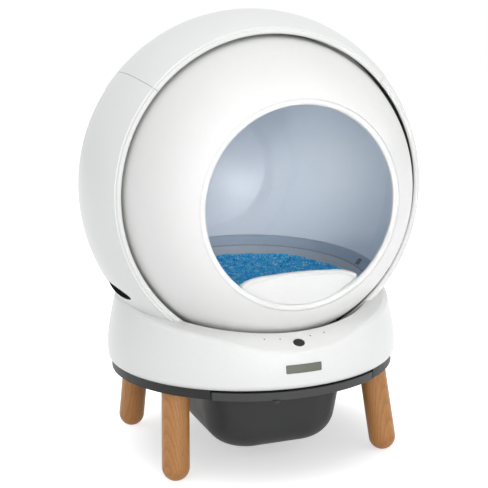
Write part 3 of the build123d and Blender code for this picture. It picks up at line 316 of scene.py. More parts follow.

# %% [markdown]
# The liner that holds the litter is a softer grey plastic with a slightly bluer band along its edge, and
# a fine groove where the band starts. The band could be a second material on some faces, but its edge
# would then follow the triangles. Here the shader measures how far each point lies under the plane of
# the liner's edge, and the two tones and the groove come from that one number, exact at any size. The
# groove is a dip in relief, and its darker colour is painted shade in the crease.


# %% Liner plastic
liner_edge = (0, ball.y + 0.1854, ball.z - 0.1183)
liner_slope = 5.6         # degrees that the edge's plane leans forward
band_height = 0.014
band_blur = 0.0006
groove_half, groove_deep = 0.0016, 0.0006


def liner_plastic(name, edge_spot, slope, band):
    """Grey plastic, bluer in a band under the sloping edge, with a groove between, dipped in relief and
    darkened with painted shade.
    """
    finish = Finish(name)
    across = (0, -math.sin(math.radians(slope)), math.cos(math.radians(slope)))
    level = finish.node("VectorMath", {"operation": "DOT_PRODUCT"},
                        {0: finish.place(), 1: across}, out="Value")
    under = Vector(edge_spot).dot(Vector(across)) - level
    in_band = finish.node("MapRange", {"interpolation_type": "SMOOTHSTEP"}, {
        "Value": under, "From Min": band + band_blur, "From Max": band - band_blur})
    groove_dip_and_shade = finish.node("MapRange", {"interpolation_type": "SMOOTHSTEP"}, {
        "Value": finish.node("Math", {"operation": "ABSOLUTE"}, {0: under - band}),
        "From Min": groove_half, "From Max": 0.0})
    clouds = finish.grain(12.0, 3.0)
    scuffs = finish.ramp(finish.grain(48.0, 6.0, (1.0, 1.0, 2.4)), [(0.52, black), (0.78, white)])
    lower = finish.blend(clouds, colour(196, 202, 208), colour(187, 194, 201))
    upper = finish.blend(clouds, colour(180, 192, 205), colour(171, 184, 198))
    base = finish.blend(scuffs * 0.18, finish.blend(in_band, lower, upper), colour(208, 213, 218))
    skin = finish.relief(finish.grain(1100.0), 0.000012)
    return finish.surface(
        # the groove's darker colour is painted shade in the crease
        base_color=finish.blend(groove_dip_and_shade * 0.45, base, colour(92, 100, 110)),
        roughness=clouds * 0.08 + scuffs * 0.08 + 0.44,
        normal=finish.relief(groove_dip_and_shade * -1.0, groove_deep, 1.0, skin),
        specular_ior_level=0.4)


liner_grey = liner_plastic("liner_grey", liner_edge, liner_slope, band_height)
grille_grey = satin_white("grille_grey", colour(176, 183, 190), colour(166, 174, 183), 0.46)
print("liner plastics made:", [m.name for m in (liner_grey, grille_grey)])

# %% [markdown]
# ## Dark and coloured plastics
#
# The tray, the drawer and the waste tub are charcoal plastic with a faint mould texture, and the gears,
# the rollers and the clips inside are plain moulded parts. A dark grey alone would look like paper:
# what tells plastic is a fine relief that breaks up the light, and patches where it is rubbed a little
# duller. One function with the tone, the gloss and the grain as its values serves them all. The
# drawer's front ends in a near-black band on both sides, painted shade of the gaps beside it, coloured by
# how far a point is from the middle, so that this shade needs no extra piece.


# %% Dark and coloured plastics
# width and blur of the near-black bands at the drawer front's ends, painted shade of the gaps there
gap_shade_width, gap_shade_blur = 0.0018, 0.0004


def moulded(name, tone, shade, rough, peel=0.00003, scale=900.0, shine=0.45, gap_shade_at=None):
    """Coloured plastic with a spark-eroded mould texture, peel metres deep at scale waves in a
    metre; the last argument gives how far across it ends in a near-black band of painted gap shade."""
    finish = Finish(name)
    clouds = finish.grain(18.0, 3.0)
    fine = finish.grain(scale, 2.0)
    rub = finish.ramp(finish.grain(60.0, 5.0), [(0.45, black), (0.80, white)])
    base = finish.blend(rub * 0.35, finish.blend(clouds, tone, shade), tone)
    if gap_shade_at:
        across = finish.node("SeparateXYZ", {}, {0: finish.place()}, out="X")
        side = finish.node("Math", {"operation": "ABSOLUTE"}, {0: across})
        gap_shade = finish.node("MapRange", {}, {
            "Value": side, "From Min": gap_shade_at - gap_shade_width, "From Max": gap_shade_at - gap_shade_width + gap_shade_blur})
        # near-black at both ends: painted shade of the gaps beside the drawer's front
        base = finish.blend(gap_shade, base, colour(20, 20, 20))
    return finish.surface(
        base_color=base,
        roughness=clouds * 0.10 + rub * 0.08 + (rough - 0.08),
        normal=finish.relief(fine, peel),
        specular_ior_level=shine,
    )


tray_grey = moulded("tray_grey", colour(44, 44, 43), colour(38, 38, 37), 0.50, shine=0.22)
drawer_grey = moulded("drawer_grey", colour(68, 68, 68), colour(62, 62, 62), 0.46, shine=0.26,
                      gap_shade_at=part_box("drawer_front")[1].x)
tub_grey = moulded("tub_grey", colour(64, 64, 64), colour(58, 58, 58), 0.46, shine=0.16)
grip_black = moulded("grip_black", colour(40, 40, 41), colour(32, 32, 33), 0.55)
gear_cream = moulded("gear_cream", colour(222, 216, 200), colour(212, 205, 188), 0.45)
roller_rubber = moulded("roller_rubber", colour(46, 46, 46), colour(38, 38, 38), 0.75,
                        peel=0.00006, scale=500.0)
socket_black = moulded("socket_black", colour(28, 28, 29), colour(22, 22, 23), 0.35)
gearbox_dark = moulded("gearbox_dark", colour(52, 53, 54), colour(44, 45, 46), 0.5)
gearbox_grey = moulded("gearbox_grey", colour(120, 122, 124), colour(108, 110, 112), 0.45)
clip_grey = moulded("clip_grey", colour(112, 120, 130), colour(104, 112, 122), 0.45)
window_black = moulded("window_black", colour(30, 29, 31), colour(22, 21, 23), 0.12, peel=0.000004)
light_grey = moulded("light_grey", colour(96, 98, 100), colour(84, 86, 88), 0.30, peel=0.00001)

# %% [markdown]
# ## Turned hardwood
#
# The legs are turned from pale brown hardwood: a plank cut beside the heart shows growth rings as long
# lines on the side and as arches at the round end. Rings are surfaces round the heart of the tree, so
# the wood is cut out of a solid pattern: the distance from a slightly leaning line, bent by noise,
# gives the rings, and thin stretched noise gives the pores. A picture of wood could be wrapped on too,
# but its arches would not follow the round end.


# %% Turned hardwood
ring_width = 0.0034
wander_reach = 0.016


def hardwood(name, foot, lean, heart):
    """Wood cut out of a solid pattern of rings round a line that passes the leg at a distance."""
    finish = Finish(name)
    spot = finish.node("VectorMath", {"operation": "SUBTRACT"}, {0: finish.place(), 1: foot})
    split = finish.node("SeparateXYZ", {}, {0: spot})
    x, y, z = [Wire(finish, split.socket.node.outputs[i]) for i in range(3)]
    wander = finish.grain(9.0, 3.0, (1.0, 1.0, 0.35))
    bend = (wander - 0.5) * wander_reach
    across_x = x - z * lean[0] - heart[0] + bend
    across_y = y - z * lean[1] - heart[1]
    radius = (across_x * across_x + across_y * across_y) ** 0.5
    ring = finish.node("Math", {"operation": "FRACT"}, {0: radius / ring_width})
    rings = finish.ramp(ring, [(0.0, (0.15, 0.15, 0.15, 1)), (0.55, (0.55, 0.55, 0.55, 1)),
                               (0.88, white), (1.0, (0.15, 0.15, 0.15, 1))], "EASE")
    pores = finish.grain(620.0, 3.0, (1.0, 1.0, 0.045))
    pore = finish.ramp(pores, [(0.0, black), (0.56, black), (0.74, white)])
    patches = finish.grain(16.0, 3.0, (1.0, 1.0, 0.25))
    pale = finish.blend(patches, colour(192, 137, 78), colour(175, 118, 58))
    wood = finish.blend(rings * 0.42, pale, colour(140, 84, 42))
    return finish.surface(
        base_color=finish.blend(pore * 0.45, wood, colour(112, 64, 30)),
        roughness=pore * 0.15 + rings * 0.05 + 0.42,
        normal=finish.relief(pore, -0.00008),
        specular_ior_level=0.4,
        coat_weight=0.12,
        coat_roughness=0.25,
    )


print("the wood's rings are", round(1000 * ring_width, 1), "mm wide")

# %% [markdown]
# ## Metals and electronics
#
# The bolts, the screws and the motor's bracket are zinc-plated steel, and the motor's can is bare
# steel. They show only when the box is taken apart, but a part that is looked at from all sides needs
# them finished too. Metal with one roughness looks like chrome, so fine lines along one direction, a
# noise stretched ninety times, vary its gloss. The plate on the skirt is only partly metallic, as
# lacquered metal looks. The circuit board is green lacquer over straight tracks: a brick pattern gives
# them without drawing one by hand.


# %% Metals and the circuit board
brush_waves = 60.0
brush_stretch = (1.0, 90.0, 90.0)


def brushed(name, tone, shade, rough, metal=1.0):
    """Metal with fine lines along X."""
    finish = Finish(name)
    hair = finish.grain(brush_waves, 4.0, brush_stretch)
    return finish.surface(
        base_color=finish.blend(hair, tone, shade),
        metallic=metal,
        roughness=hair * 0.18 + (rough - 0.08),
        normal=finish.relief(hair, 0.000012),
    )


zinc_steel = brushed("zinc_steel", colour(196, 198, 202), colour(172, 174, 178), 0.34)
motor_steel = brushed("motor_steel", colour(176, 178, 182), colour(150, 152, 156), 0.38)
badge_metal = brushed("badge_metal", colour(104, 107, 97), colour(92, 95, 86), 0.42, 0.35)


def circuit_board(name):
    """Green lacquer over straight tracks."""
    finish = Finish(name)
    tracks = finish.node("TexBrick", {"offset": 0.35}, {
        "Vector": finish.place(), "Scale": 130.0, "Mortar Size": 0.03,
        "Color1": colour(24, 92, 58), "Color2": colour(30, 104, 66), "Mortar": colour(86, 140, 84)})
    return finish.surface(
        base_color=tracks, roughness=finish.grain(200.0) * 0.1 + 0.30,
        normal=finish.relief(finish.grain(500.0), 0.00002))


board_green = circuit_board("board_green")
print("metals and board made:", [m.name for m in (zinc_steel, motor_steel, badge_metal, board_green)])

# %% [markdown]
# ## Litter
#
# The litter is a bed of small hard grains in several blues with some pale ones between them. Each grain
# is its own little lump of mesh, and the shader gives each separate lump of a mesh its own random
# number, so one material colours them all differently. The number follows from the order of the lumps,
# and they are built in the same order in every run, so the colours stay.


# %% Litter colours
lot_share, drift_share, drift_shift = 0.62, 0.9, 0.26


def litter_blue(name):
    """One of six tones for each grain, in drifts of darker and paler ones, with a dry chalky skin."""
    finish = Finish(name)
    lot = finish.node("NewGeometry", out="Random Per Island")
    drift = finish.grain(85.0, 2.0)
    tone = finish.ramp(lot * lot_share + drift * drift_share - drift_shift, [
        (0.00, colour(0, 112, 210)), (0.20, colour(0, 160, 240)), (0.38, colour(0, 192, 248)),
        (0.56, colour(70, 208, 246)), (0.70, colour(150, 222, 246)),
        (0.84, colour(206, 232, 246))], "CONSTANT")
    skin = finish.grain(700.0, 3.0)
    return finish.surface(
        base_color=finish.blend(skin * 0.06, tone, colour(206, 218, 226)),
        roughness=skin * 0.15 + 0.62,
        normal=finish.relief(skin, 0.0002))


litter_mix = litter_blue("litter_mix")
print("litter colours made, with", len(litter_mix.node_tree.nodes), "nodes")

# %% [markdown]
# The bed lies in the liner like water in a bowl, a little lower in front. Its body is a height field
# over a round disc: a top that rolls gently, and the sphere of the liner below. Real grains could be
# dropped one by one with a physics simulation, but only the top layers are ever seen, so each grain is
# placed on a jittered grid of hexagons just under the surface, turned and squeezed at random. A grain
# starts as an icosahedron, twelve corners that are pushed in and out until it looks like a chip of
# dried gel. Numpy works on all grains at once.

# %% The disc that the litter fills
bed_radius = 0.2374                      # of the liner's sphere that it rests in
bed_slope = math.radians(2.4)
bed_back, bed_drop = 0.1581, 0.1475      # its back edge, behind and under the ball's centre
bed_front = -0.2097
bed_normal = Vector((0, -math.sin(bed_slope), math.cos(bed_slope)))
bed_edge = Vector((0, ball.y + bed_back, ball.z - bed_drop))
bed_level = (bed_edge - drum_centre).dot(bed_normal)
bed_middle = drum_centre + bed_normal * bed_level
bed_reach = math.sqrt(bed_radius ** 2 - bed_level ** 2)
print("the litter is", round(2000 * bed_reach), "mm across")

# %% [markdown]
# The top rises and falls by a few millimetres, as if raked, and at the right wall it is scooped out. Its
# height is one function, which the body and the grains share. A second one finds the shore, where the
# top meets the liner's wall. That could be solved on paper for a flat top, but not with the rise and
# fall, so the stretch in which the shore must lie is halved until it is short enough.

# %% Surface and shore
scoop_start, scoop_width, scoop_deep = 0.108, 0.045, 0.0068
wide_waves, wide_height = 14, 0.0022
short_waves, short_height = 60, 0.0009
halvings = 24


def heap(x, y):
    """Gentle rise and fall of the raked surface, scooped out at the right wall."""
    scoop = min(max((x - scoop_start) / scoop_width, 0), 1)
    wide = noise.noise(Vector((wide_waves * x, wide_waves * y, 0.3)))
    short = noise.noise(Vector((short_waves * x, short_waves * y, 5.1)))
    return wide_height * wide + short_height * short - scoop_deep * scoop * scoop * (3 - 2 * scoop)


def bed_spot(reach, angle):
    """Point of the sloping disc, some way from its middle."""
    step = Vector((math.cos(angle), math.sin(angle) * math.cos(bed_slope),
                   math.sin(angle) * math.sin(bed_slope)))
    return bed_middle + step * reach


def wall_under(spot):
    """Height of the liner's sphere under a point."""
    flat = Vector((spot.x, spot.y - drum_centre.y))
    return drum_centre.z - math.sqrt(max(bed_radius ** 2 - flat.length_squared, 0))


def shore(angle):
    """How far the litter reaches before it meets the wall, or its own front end."""
    near, far = 0.0, bed_reach
    if math.sin(angle) < 0:
        far = min(far, (bed_middle.y - bed_front) / (-math.sin(angle) * math.cos(bed_slope)))
    edge = bed_spot(far, angle)
    if edge.z + heap(edge.x, edge.y) > wall_under(edge):
        return far
    for _ in range(halvings):
        half = (near + far) / 2
        spot = bed_spot(half, angle)
        dry = spot.z + heap(spot.x, spot.y) < wall_under(spot)
        near, far = (near, half) if dry else (half, far)
    return near


print("the shore at the right is", round(1000 * shore(0.0)), "mm from the middle, at the left",
      round(1000 * shore(math.pi)))


# %% Body of the litter
least_depth = 0.0002


def litter_body(rings=26, steps=120, sunk=0.0030):
    """Closed height field, sunk under the grains except at the shore: rolling top, and the
    liner's sphere underneath."""
    tops, bottoms = [], []
    shores = [shore(2 * math.pi * step / steps) for step in range(steps)]
    for ring in range(rings + 1):
        share = max(ring / rings, 0.002)
        for step in range(steps):
            spot = bed_spot(shores[step] * share, 2 * math.pi * step / steps)
            low = wall_under(spot)
            high = max(spot.z - sunk * (1 - share ** 10) + heap(spot.x, spot.y), low + least_depth)
            tops.append((spot.x, spot.y, high))
            bottoms.append((spot.x, spot.y, low))
    corners = tops + bottoms
    half = len(tops)
    faces = []
    for ring in range(rings):
        for step in range(steps):
            a, b = ring * steps + step, ring * steps + (step + 1) % steps
            c, d = b + steps, a + steps
            faces.append((a, d, c, b))
            faces.append((half + a, half + b, half + c, half + d))
    for step in range(steps):
        a, b = rings * steps + step, rings * steps + (step + 1) % steps
        faces.append((a, half + a, half + b, b))
    faces.append(tuple(range(steps)))
    faces.append(tuple(half + k for k in reversed(range(steps))))
    return corners, faces


body_corners, body_faces = litter_body()
print("the litter's body has", len(body_faces), "faces")

# %% Places of the grains
dice = np.random.default_rng(11)
row_step = 0.866                         # from row to row of hexagons, in pitches
jitter, sway = 0.38, 0.35
wall_room, front_room = 0.0026, 0.003


def chip_places(pitch, height):
    """Jittered hexagons over the disc, some height above the body's plane."""
    spots = []
    rows = int(2 * bed_reach / (pitch * row_step)) + 2
    for row in range(rows):
        across = -bed_reach + row * pitch * row_step
        for step in range(rows):
            along = -bed_reach + (step + 0.5 * (row % 2)) * pitch
            dx, dy, dz = dice.uniform(-jitter, jitter, 3) * pitch
            x, y = along + dx, bed_middle.y + across + dy
            z = bed_edge.z + math.tan(bed_slope) * (y - bed_edge.y) + heap(x, y) + height + sway * dz
            depth = bed_radius - (Vector((x, y, z)) - drum_centre).length
            if depth > wall_room and y > bed_front + front_room:
                spots.append((x, y, z))
    return np.array(spots)


print("grains keep", round(1000 * wall_room, 1), "mm from the wall and", round(1000 * front_room, 1),
      "mm from the front end")

# %% Chips of gel
golden = (1 + 5 ** 0.5) / 2
chip_corners = np.array([
    (-1, golden, 0), (1, golden, 0), (-1, -golden, 0), (1, -golden, 0),
    (0, -1, golden), (0, 1, golden), (0, -1, -golden), (0, 1, -golden),
    (golden, 0, -1), (golden, 0, 1), (-golden, 0, -1), (-golden, 0, 1)]) / (1 + golden ** 2) ** 0.5
chip_faces = np.array([
    (0, 11, 5), (0, 5, 1), (0, 1, 7), (0, 7, 10), (0, 10, 11), (1, 5, 9), (5, 11, 4), (11, 10, 2),
    (10, 7, 6), (7, 1, 8), (3, 9, 4), (3, 4, 2), (3, 2, 6), (3, 6, 8), (3, 8, 9), (4, 9, 5),
    (2, 4, 11), (6, 2, 10), (8, 6, 7), (9, 8, 1)])


def chips(spots, small, large):
    """Corners and faces of one turned and squeezed chip at each spot."""
    count = len(spots)
    squeeze = dice.uniform(0.72, 1.15, (count, 1, 3))
    push = dice.uniform(0.80, 1.12, (count, len(chip_corners), 1))
    size = dice.uniform(small, large, (count, 1, 1))
    turn = dice.normal(size=(count, 4))
    w, x, y, z = (turn / np.linalg.norm(turn, axis=1, keepdims=True)).T
    spin = np.array([[1 - 2 * (y * y + z * z), 2 * (x * y - z * w), 2 * (x * z + y * w)],
                     [2 * (x * y + z * w), 1 - 2 * (x * x + z * z), 2 * (y * z - x * w)],
                     [2 * (x * z - y * w), 2 * (y * z + x * w), 1 - 2 * (x * x + y * y)]]).transpose(2, 0, 1)
    shapes = chip_corners[None] * squeeze * push * size
    placed = np.einsum("nij,nkj->nki", spin, shapes) + spots[:, None, :]
    faces = chip_faces[None] + len(chip_corners) * np.arange(count)[:, None, None]
    return placed.reshape(-1, 3), faces.reshape(-1, 3)


print("a chip has", len(chip_corners), "corners and", len(chip_faces), "faces")

# %% The whole bed
lower_layer = chips(chip_places(pitch=0.0037, height=-0.0019), small=0.0019, large=0.0026)
upper_layer = chips(chip_places(pitch=0.0052, height=-0.0004), small=0.0016, large=0.0024)
corners, faces = list(body_corners), list(body_faces)
for layer_corners, layer_faces in (lower_layer, upper_layer):
    faces += [tuple(f) for f in (layer_faces + len(corners)).tolist()]
    corners += [tuple(c) for c in layer_corners.tolist()]
litter = piece("litter_grains", corners, faces, "base", ("litter_bed",), "litter_grains", sharp=32.0)
litter.data.materials.append(litter_mix)
print("grains:", (len(lower_layer[1]) + len(upper_layer[1])) // len(chip_faces))

# %% [markdown]
# ## Finishes for the measured pieces
#
# Most hard parts of the frame already have their true form, with their own smooth normals, so they only
# need their finish. A table gives each node its material, and the loop fills the material slots without
# touching the meshes. Wood is made once for each leg, with its own heart and lean, because no two legs
# come from the same place in the plank.

# %% Give each node its finish
node_finish = {
    "hood": shell_white, "shell_body": shell_white, "rear_cover": shell_white, "base_skirt": shell_white,
    "drum_front_cap": drum_white, "entry_ring": trim_white_painted_shade, "entry_lip": lip_white,
    "drum_rear_bowl": bowl_grey, "clean_litter_pocket": bowl_grey, "waste_port_frame": bowl_grey,
    "litter_liner": liner_grey, "sifting_grille": grille_grey, "liner_clips": clip_grey,
    "base_ring": tray_grey, "drawer_rails": tray_grey, "waste_chute": tray_grey,
    "drawer_front": drawer_grey, "waste_tub": tub_grey,
    "grip_pocket_left": grip_black, "grip_pocket_right": grip_black,
    "leg_bolts": zinc_steel, "cover_screws": zinc_steel, "motor_bracket": zinc_steel,
    "badge_plate": badge_metal, "sensor_window": window_black, "status_lights": light_grey,
    "control_board": board_green, "power_inlet": socket_black, "drive_motor": motor_steel,
    "gearbox": gearbox_grey, "rear_bearing": gear_cream, "roller_brackets": gearbox_dark,
    "roller_left": roller_rubber, "roller_right": roller_rubber, "drive_pinion": gear_cream,
    "ring_gear": gear_cream, "litter_bed": litter_mix,
}
legs = {  # lean of the tree's heart, and how far it passes the foot
    "leg_front_left": ((0.02, 0.01), (0.105, 0.060)),
    "leg_front_right": ((-0.05, 0.05), (-0.020, 0.060)),
    "leg_rear_left": ((0.02, -0.03), (0.085, 0.070)),
    "leg_rear_right": ((-0.04, -0.03), (-0.050, -0.034)),
}
for leg, (lean, heart) in legs.items():
    low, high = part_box(leg)
    foot = ((low.x + high.x) / 2, (low.y + high.y) / 2, 0.0)
    node_finish[leg] = hardwood(leg + "_wood", foot, lean, heart)
for name, material in node_finish.items():
    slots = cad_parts[name].data.materials
    slots.clear()
    slots.append(material)
print("finishes given to", len(node_finish), "nodes of", len(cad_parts))

# %% [markdown]
# ## The window and the lights on the shelf
#
# A smoked black window with a sensor behind it sits in the sloping shelf, with two small lights on each
# side. The frame has them as flat-topped plugs. Real ones are slightly domed, and that dome is what
# catches a spot of light, so they are rebuilt as rings of corners that shrink as they rise. The same
# short function makes the window, which is an oval, and the lights, which are round.

# %% Domed plugs in the shelf
shelf_tilt = math.radians(29.5)
shelf_up = Vector((0, math.cos(shelf_tilt), math.sin(shelf_tilt)))
shelf_out = Vector((0, -math.sin(shelf_tilt), math.cos(shelf_tilt)))
sensor_spot = Vector((-0.0016, -0.2183, 0.2206))
dome_rise = [(1.0, -0.0110), (1.0, -0.0004), (0.985, 0.0001), (0.95, 0.0005), (0.86, 0.0009),
             (0.68, 0.0013), (0.42, 0.0016), (0.16, 0.0017)]


def dome(middle, half_x, half_up, rise, steps=48):
    """Plug with a rounded top: one ring of corners for each share of the size and each height."""
    corners, faces = [], []
    for share, height in dome_rise:
        lift = height * (rise if height > 0 else 1.0)
        for step in range(steps):
            turn = 2 * math.pi * step / steps
            corners.append(middle + Vector((half_x * share * math.cos(turn), 0, 0))
                           + shelf_up * half_up * share * math.sin(turn) + shelf_out * lift)
    rings = len(dome_rise)
    for ring in range(rings - 1):
        for step in range(steps):
            a, b = ring * steps + step, ring * steps + (step + 1) % steps
            faces.append((a, b, b + steps, a + steps))
    faces.append(tuple(reversed(range(steps))))
    faces.append(tuple((rings - 1) * steps + k for k in range(steps)))
    return corners, faces


window_half = (0.0092, 0.0082)
window = piece("sensor_dome", *dome(sensor_spot, *window_half, rise=1.0), "base",
               ("sensor_window",), "black_window")
window.data.materials.append(window_black)

# %% Four lights beside the window
light_half = 0.0013
light_spots = ((-0.0520, 0.0150), (-0.0280, 0.0113), (0.0210, 0.0113), (0.0450, 0.0150))
light_corners, light_faces = [], []
for across, along in light_spots:
    middle = Vector((across, sensor_spot.y, sensor_spot.z)) + shelf_up * along
    corners, faces = dome(middle, light_half, light_half, rise=0.35, steps=20)
    light_faces += [tuple(k + len(light_corners) for k in f) for f in faces]
    light_corners += corners
lights = piece("status_domes", light_corners, light_faces, "base", ("status_lights",), "light_pipe")
lights.data.materials.append(light_grey)

# %% [markdown]
# ## Two small trims
#
# The low lip of the entry leans back, so a narrow gap opens between its ends and the ring. The picture
# shows no such gap, so a thin web is taken to close it, moulded along the bore. It is swept here round
# the entry's own tilted axis: four corners at each angle, from the ring back to the lip. Under the
# drawer's front the picture shows a short dark nib, perhaps the end of a catch. It could be a scaled
# cube, but a five-sided outline with a small bevel gives its slanting foot.

# %% Web between the lip and the ring
entry_bore = 0.1478
entry_dip = math.radians(1.4)
web_inner, web_outer = 0.14725, 0.14780
web_start = -0.1886
lip_foot = -0.1875
lip_lean = 13.0 / 47.0    # back over up


def entry_point(across, along, rise):
    """Point given from the drum's centre in the entry's own frame, which looks down a little."""
    return drum_centre + Vector((across, along * math.cos(entry_dip) - rise * math.sin(entry_dip),
                                 along * math.sin(entry_dip) + rise * math.cos(entry_dip)))


def lip_web(half_turn=38.2, steps=72):
    """Thin wall along the bottom of the bore."""
    corners, faces = [], []
    for step in range(steps + 1):
        turn = math.radians(half_turn) * (2 * step / steps - 1)
        end = lip_foot + lip_lean * entry_bore * (1 - math.cos(turn))
        for radius, along in ((web_inner, web_start), (web_outer, web_start),
                              (web_outer, end), (web_inner, end)):
            corners.append(entry_point(radius * math.sin(turn), along, -radius * math.cos(turn)))
    for step in range(steps):
        for side in range(4):
            a, b = 4 * step + side, 4 * step + (side + 1) % 4
            faces.append((a, b, b + 4, a + 4))
    faces += [(3, 2, 1, 0), tuple(4 * steps + k for k in range(4))]
    return corners, faces


# the web takes the lip's darker white, with the same painted shade
web = piece("lip_web", *lip_web(), "drum", slot="lip_white")
web.data.materials.append(lip_white)

# %% Nib under the drawer's front
nib_middle, nib_half, nib_drop, nib_deep = -0.0440, 0.0062, 0.0052, 0.0030
nib_setback = 0.0016
nib_outline = [(-1.0, 0.10), (-0.75, -0.25), (0.15, -1.0), (0.62, -0.92), (1.0, 0.10)]
front_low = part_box("drawer_front")[0]
corners = [(nib_middle + nib_half * across, front_low.y + nib_setback + depth, front_low.z + nib_drop * drop)
           for depth in (0.0, nib_deep) for across, drop in nib_outline]
sides = len(nib_outline)
faces = [tuple(range(sides)), tuple(reversed(range(sides, 2 * sides)))]
faces += [(k, k + sides, (k + 1) % sides + sides, (k + 1) % sides) for k in range(sides)]
nib = piece("drawer_nib", corners, faces, "drawer", slot="dark_plastic", bevel=0.0005)
nib.data.materials.append(socket_black)

# %% [markdown]
# ## The bare plate
#
# A small plate with rounded corners sits on the front of the skirt, bent to its round. It stays bare
# here: a raised rim round a plain field. A bevelled box would be flat while the skirt is round, so the
# plate is a height field laid on the skirt itself: rays shot at the skirt give its surface, and the
# height over it depends only on how far a point is from the plate's outline.

# %% Height field on the skirt
skirt_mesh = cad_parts["base_skirt"].data
skirt_tree = BVHTree.FromPolygons([v.co for v in skirt_mesh.vertices],
                                  [tuple(p.vertices) for p in skirt_mesh.polygons])
plate_middle = Vector((-0.0016, 0, 0.1866))
plate_half = (0.02835, 0.0065)
plate_round = 0.0016
plate_steps = [(0.0, -0.0002), (0.00001, 0.0008), (0.00035, 0.0012), (0.0011, 0.0012),
               (0.0015, 0.0009), (1.0, 0.0009)]   # distance inside the outline, height
in_front = -0.5


def inside_by(x, z):
    """How far a point of the plate is inside its rounded outline."""
    dx = abs(x) - plate_half[0] + plate_round
    dz = abs(z) - plate_half[1] + plate_round
    return plate_round - min(max(dx, dz), 0) - math.hypot(max(dx, 0), max(dz, 0))


def plate_height(depth):
    """Height over the skirt for a distance inside the outline."""
    for (low, start), (high, end) in zip(plate_steps, plate_steps[1:]):
        if depth <= high:
            return start + (end - start) * max(depth - low, 0) / (high - low)
    return plate_steps[-1][1]


def plate(columns=150, rows=56):
    """Grid over the plate's outline, closer at its edges, each point laid on the skirt."""
    corners, faces = [], []
    for column in range(columns + 1):
        x = -plate_half[0] * math.cos(math.pi * column / columns)
        into = max(abs(x) - plate_half[0] + plate_round, 0)
        tall = plate_half[1] - plate_round + math.sqrt(max(plate_round ** 2 - into ** 2, 0))
        for row in range(rows + 1):
            z = -tall * math.cos(math.pi * row / rows)
            start = Vector((plate_middle.x + x, in_front, plate_middle.z + z))
            hit = skirt_tree.ray_cast(start, Vector((0, 1, 0)))[0]
            corners.append((start.x, hit.y - plate_height(inside_by(x, z)), start.z))
    for column in range(columns):
        for row in range(rows):
            a = column * (rows + 1) + row
            faces.append((a, a + rows + 1, a + rows + 2, a + 1))
    return corners, faces


badge = piece("bare_plate", *plate(), "base", ("badge_plate",), "badge_plate", sharp=30.0)
badge.data.materials.append(badge_metal)

# %% [markdown]
# ## Studio
#
# The box stands on a wide pale floor, and the world behind it shows as white. A curved backdrop
# would do the same, but a plane with no bend gives no line to hide. The floor adds some white of its
# own for the camera and for glossy reflections, least under the box: that dip is a painted shadow
# round the box, on top of the real shadows of the lamps, which stay. Two large soft lamps in front, a
# weak one from the right and one above model the ball, and the world fills the rest. They hardly reach
# into the drum, whose bowl and litter would go dull, so three small lamps look through the entry in
# beams of nine or ten degrees. Hundredths of a watt are enough for each, because a narrow beam keeps
# all its light on the entry.

# %% Floor
def studio_floor(half=9.0, cells=12):
    """Wide level sheet under the box; beyond it the world is white."""
    corners = [(half * (2 * i / cells - 1), half * (2 * j / cells - 1), 0.0)
               for j in range(cells + 1) for i in range(cells + 1)]
    row = cells + 1
    faces = [(j * row + i, j * row + i + 1, (j + 1) * row + i + 1, (j + 1) * row + i)
             for j in range(cells) for i in range(cells)]
    mesh = bpy.data.meshes.new("studio_floor")
    mesh.from_pydata(corners, [], faces)
    sheet = bpy.data.objects.new("studio_floor", mesh)
    scene.collection.objects.link(sheet)
    sheet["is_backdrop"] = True
    return sheet


floor = studio_floor()
print("floor with", len(floor.data.polygons), "faces")

# %% Paper of the floor
# least glow, under the box: the dip there paints a soft shadow
floor_glow = 0.47                        # under the box; 1 shows as white
shade_middle = (0.02, -0.02, 0.0)
shade_from, shade_to = 0.12, 0.40


def seen_or_mirrored(finish):
    """1 for rays from the camera and for rays that metal or glass sends on, 0 for the rest."""
    seen = finish.node("LightPath", out="Is Camera Ray")
    glossy = finish.node("LightPath", out="Is Glossy Ray")
    clear = finish.node("LightPath", out="Is Transmission Ray")
    sent_on = finish.node("Math", {"operation": "MAXIMUM"}, {0: glossy, 1: clear})
    return finish.node("Math", {"operation": "MAXIMUM"}, {0: seen, 1: sent_on})


def floor_paper():
    """White paper that shows some light of its own to the camera, least near the box, where the dip paints a
    soft shadow.
    """
    finish = Finish("floor_paper")
    far = finish.node("VectorMath", {"operation": "DISTANCE"},
                      {0: finish.place(), 1: shade_middle}, out="Value")
    # less glow near the box: a painted shadow on top of the lamps' real ones
    glow = finish.node("MapRange", {"interpolation_type": "SMOOTHSTEP"}, {
        "Value": far, "From Min": shade_from, "From Max": shade_to,
        "To Min": floor_glow, "To Max": 1.0})
    fibres = finish.grain(240.0, 5.0)
    tone = finish.blend(fibres, colour(225, 225, 226), colour(221, 221, 222))
    paper = finish.node("BsdfDiffuse", {}, {"Color": tone})
    nothing = finish.node("Emission", {}, {"Color": black, "Strength": 0.0})
    own_light = finish.node("Emission", {}, {"Color": white, "Strength": 1.0})
    shown = finish.node("MixShader", {}, {0: seen_or_mirrored(finish) * glow, 1: nothing, 2: own_light})
    both = finish.node("AddShader", {}, {0: paper, 1: shown})
    finish.links.new(both.socket, finish.nodes["Material Output"].inputs["Surface"])
    return finish.material


floor.data.materials.append(floor_paper())
print("the floor glows from", floor_glow, "under the box to 1 at", shade_to, "m")

# %% World
world_tone = (0.97, 0.985, 1.0, 1.0)
world_light = 0.78
sky = Finish("studio", bpy.data.worlds.new("studio"))
scene.world = sky.material
lit = sky.node("Background", {}, {"Color": world_tone, "Strength": world_light})
plain = sky.node("Background", {}, {"Color": white, "Strength": 1.0})
both = sky.node("MixShader", {}, {0: seen_or_mirrored(sky), 1: lit, 2: plain})
sky.links.new(both.socket, sky.nodes["World Output"].inputs["Surface"])
print("the world lights with", world_light, "and shows as white")


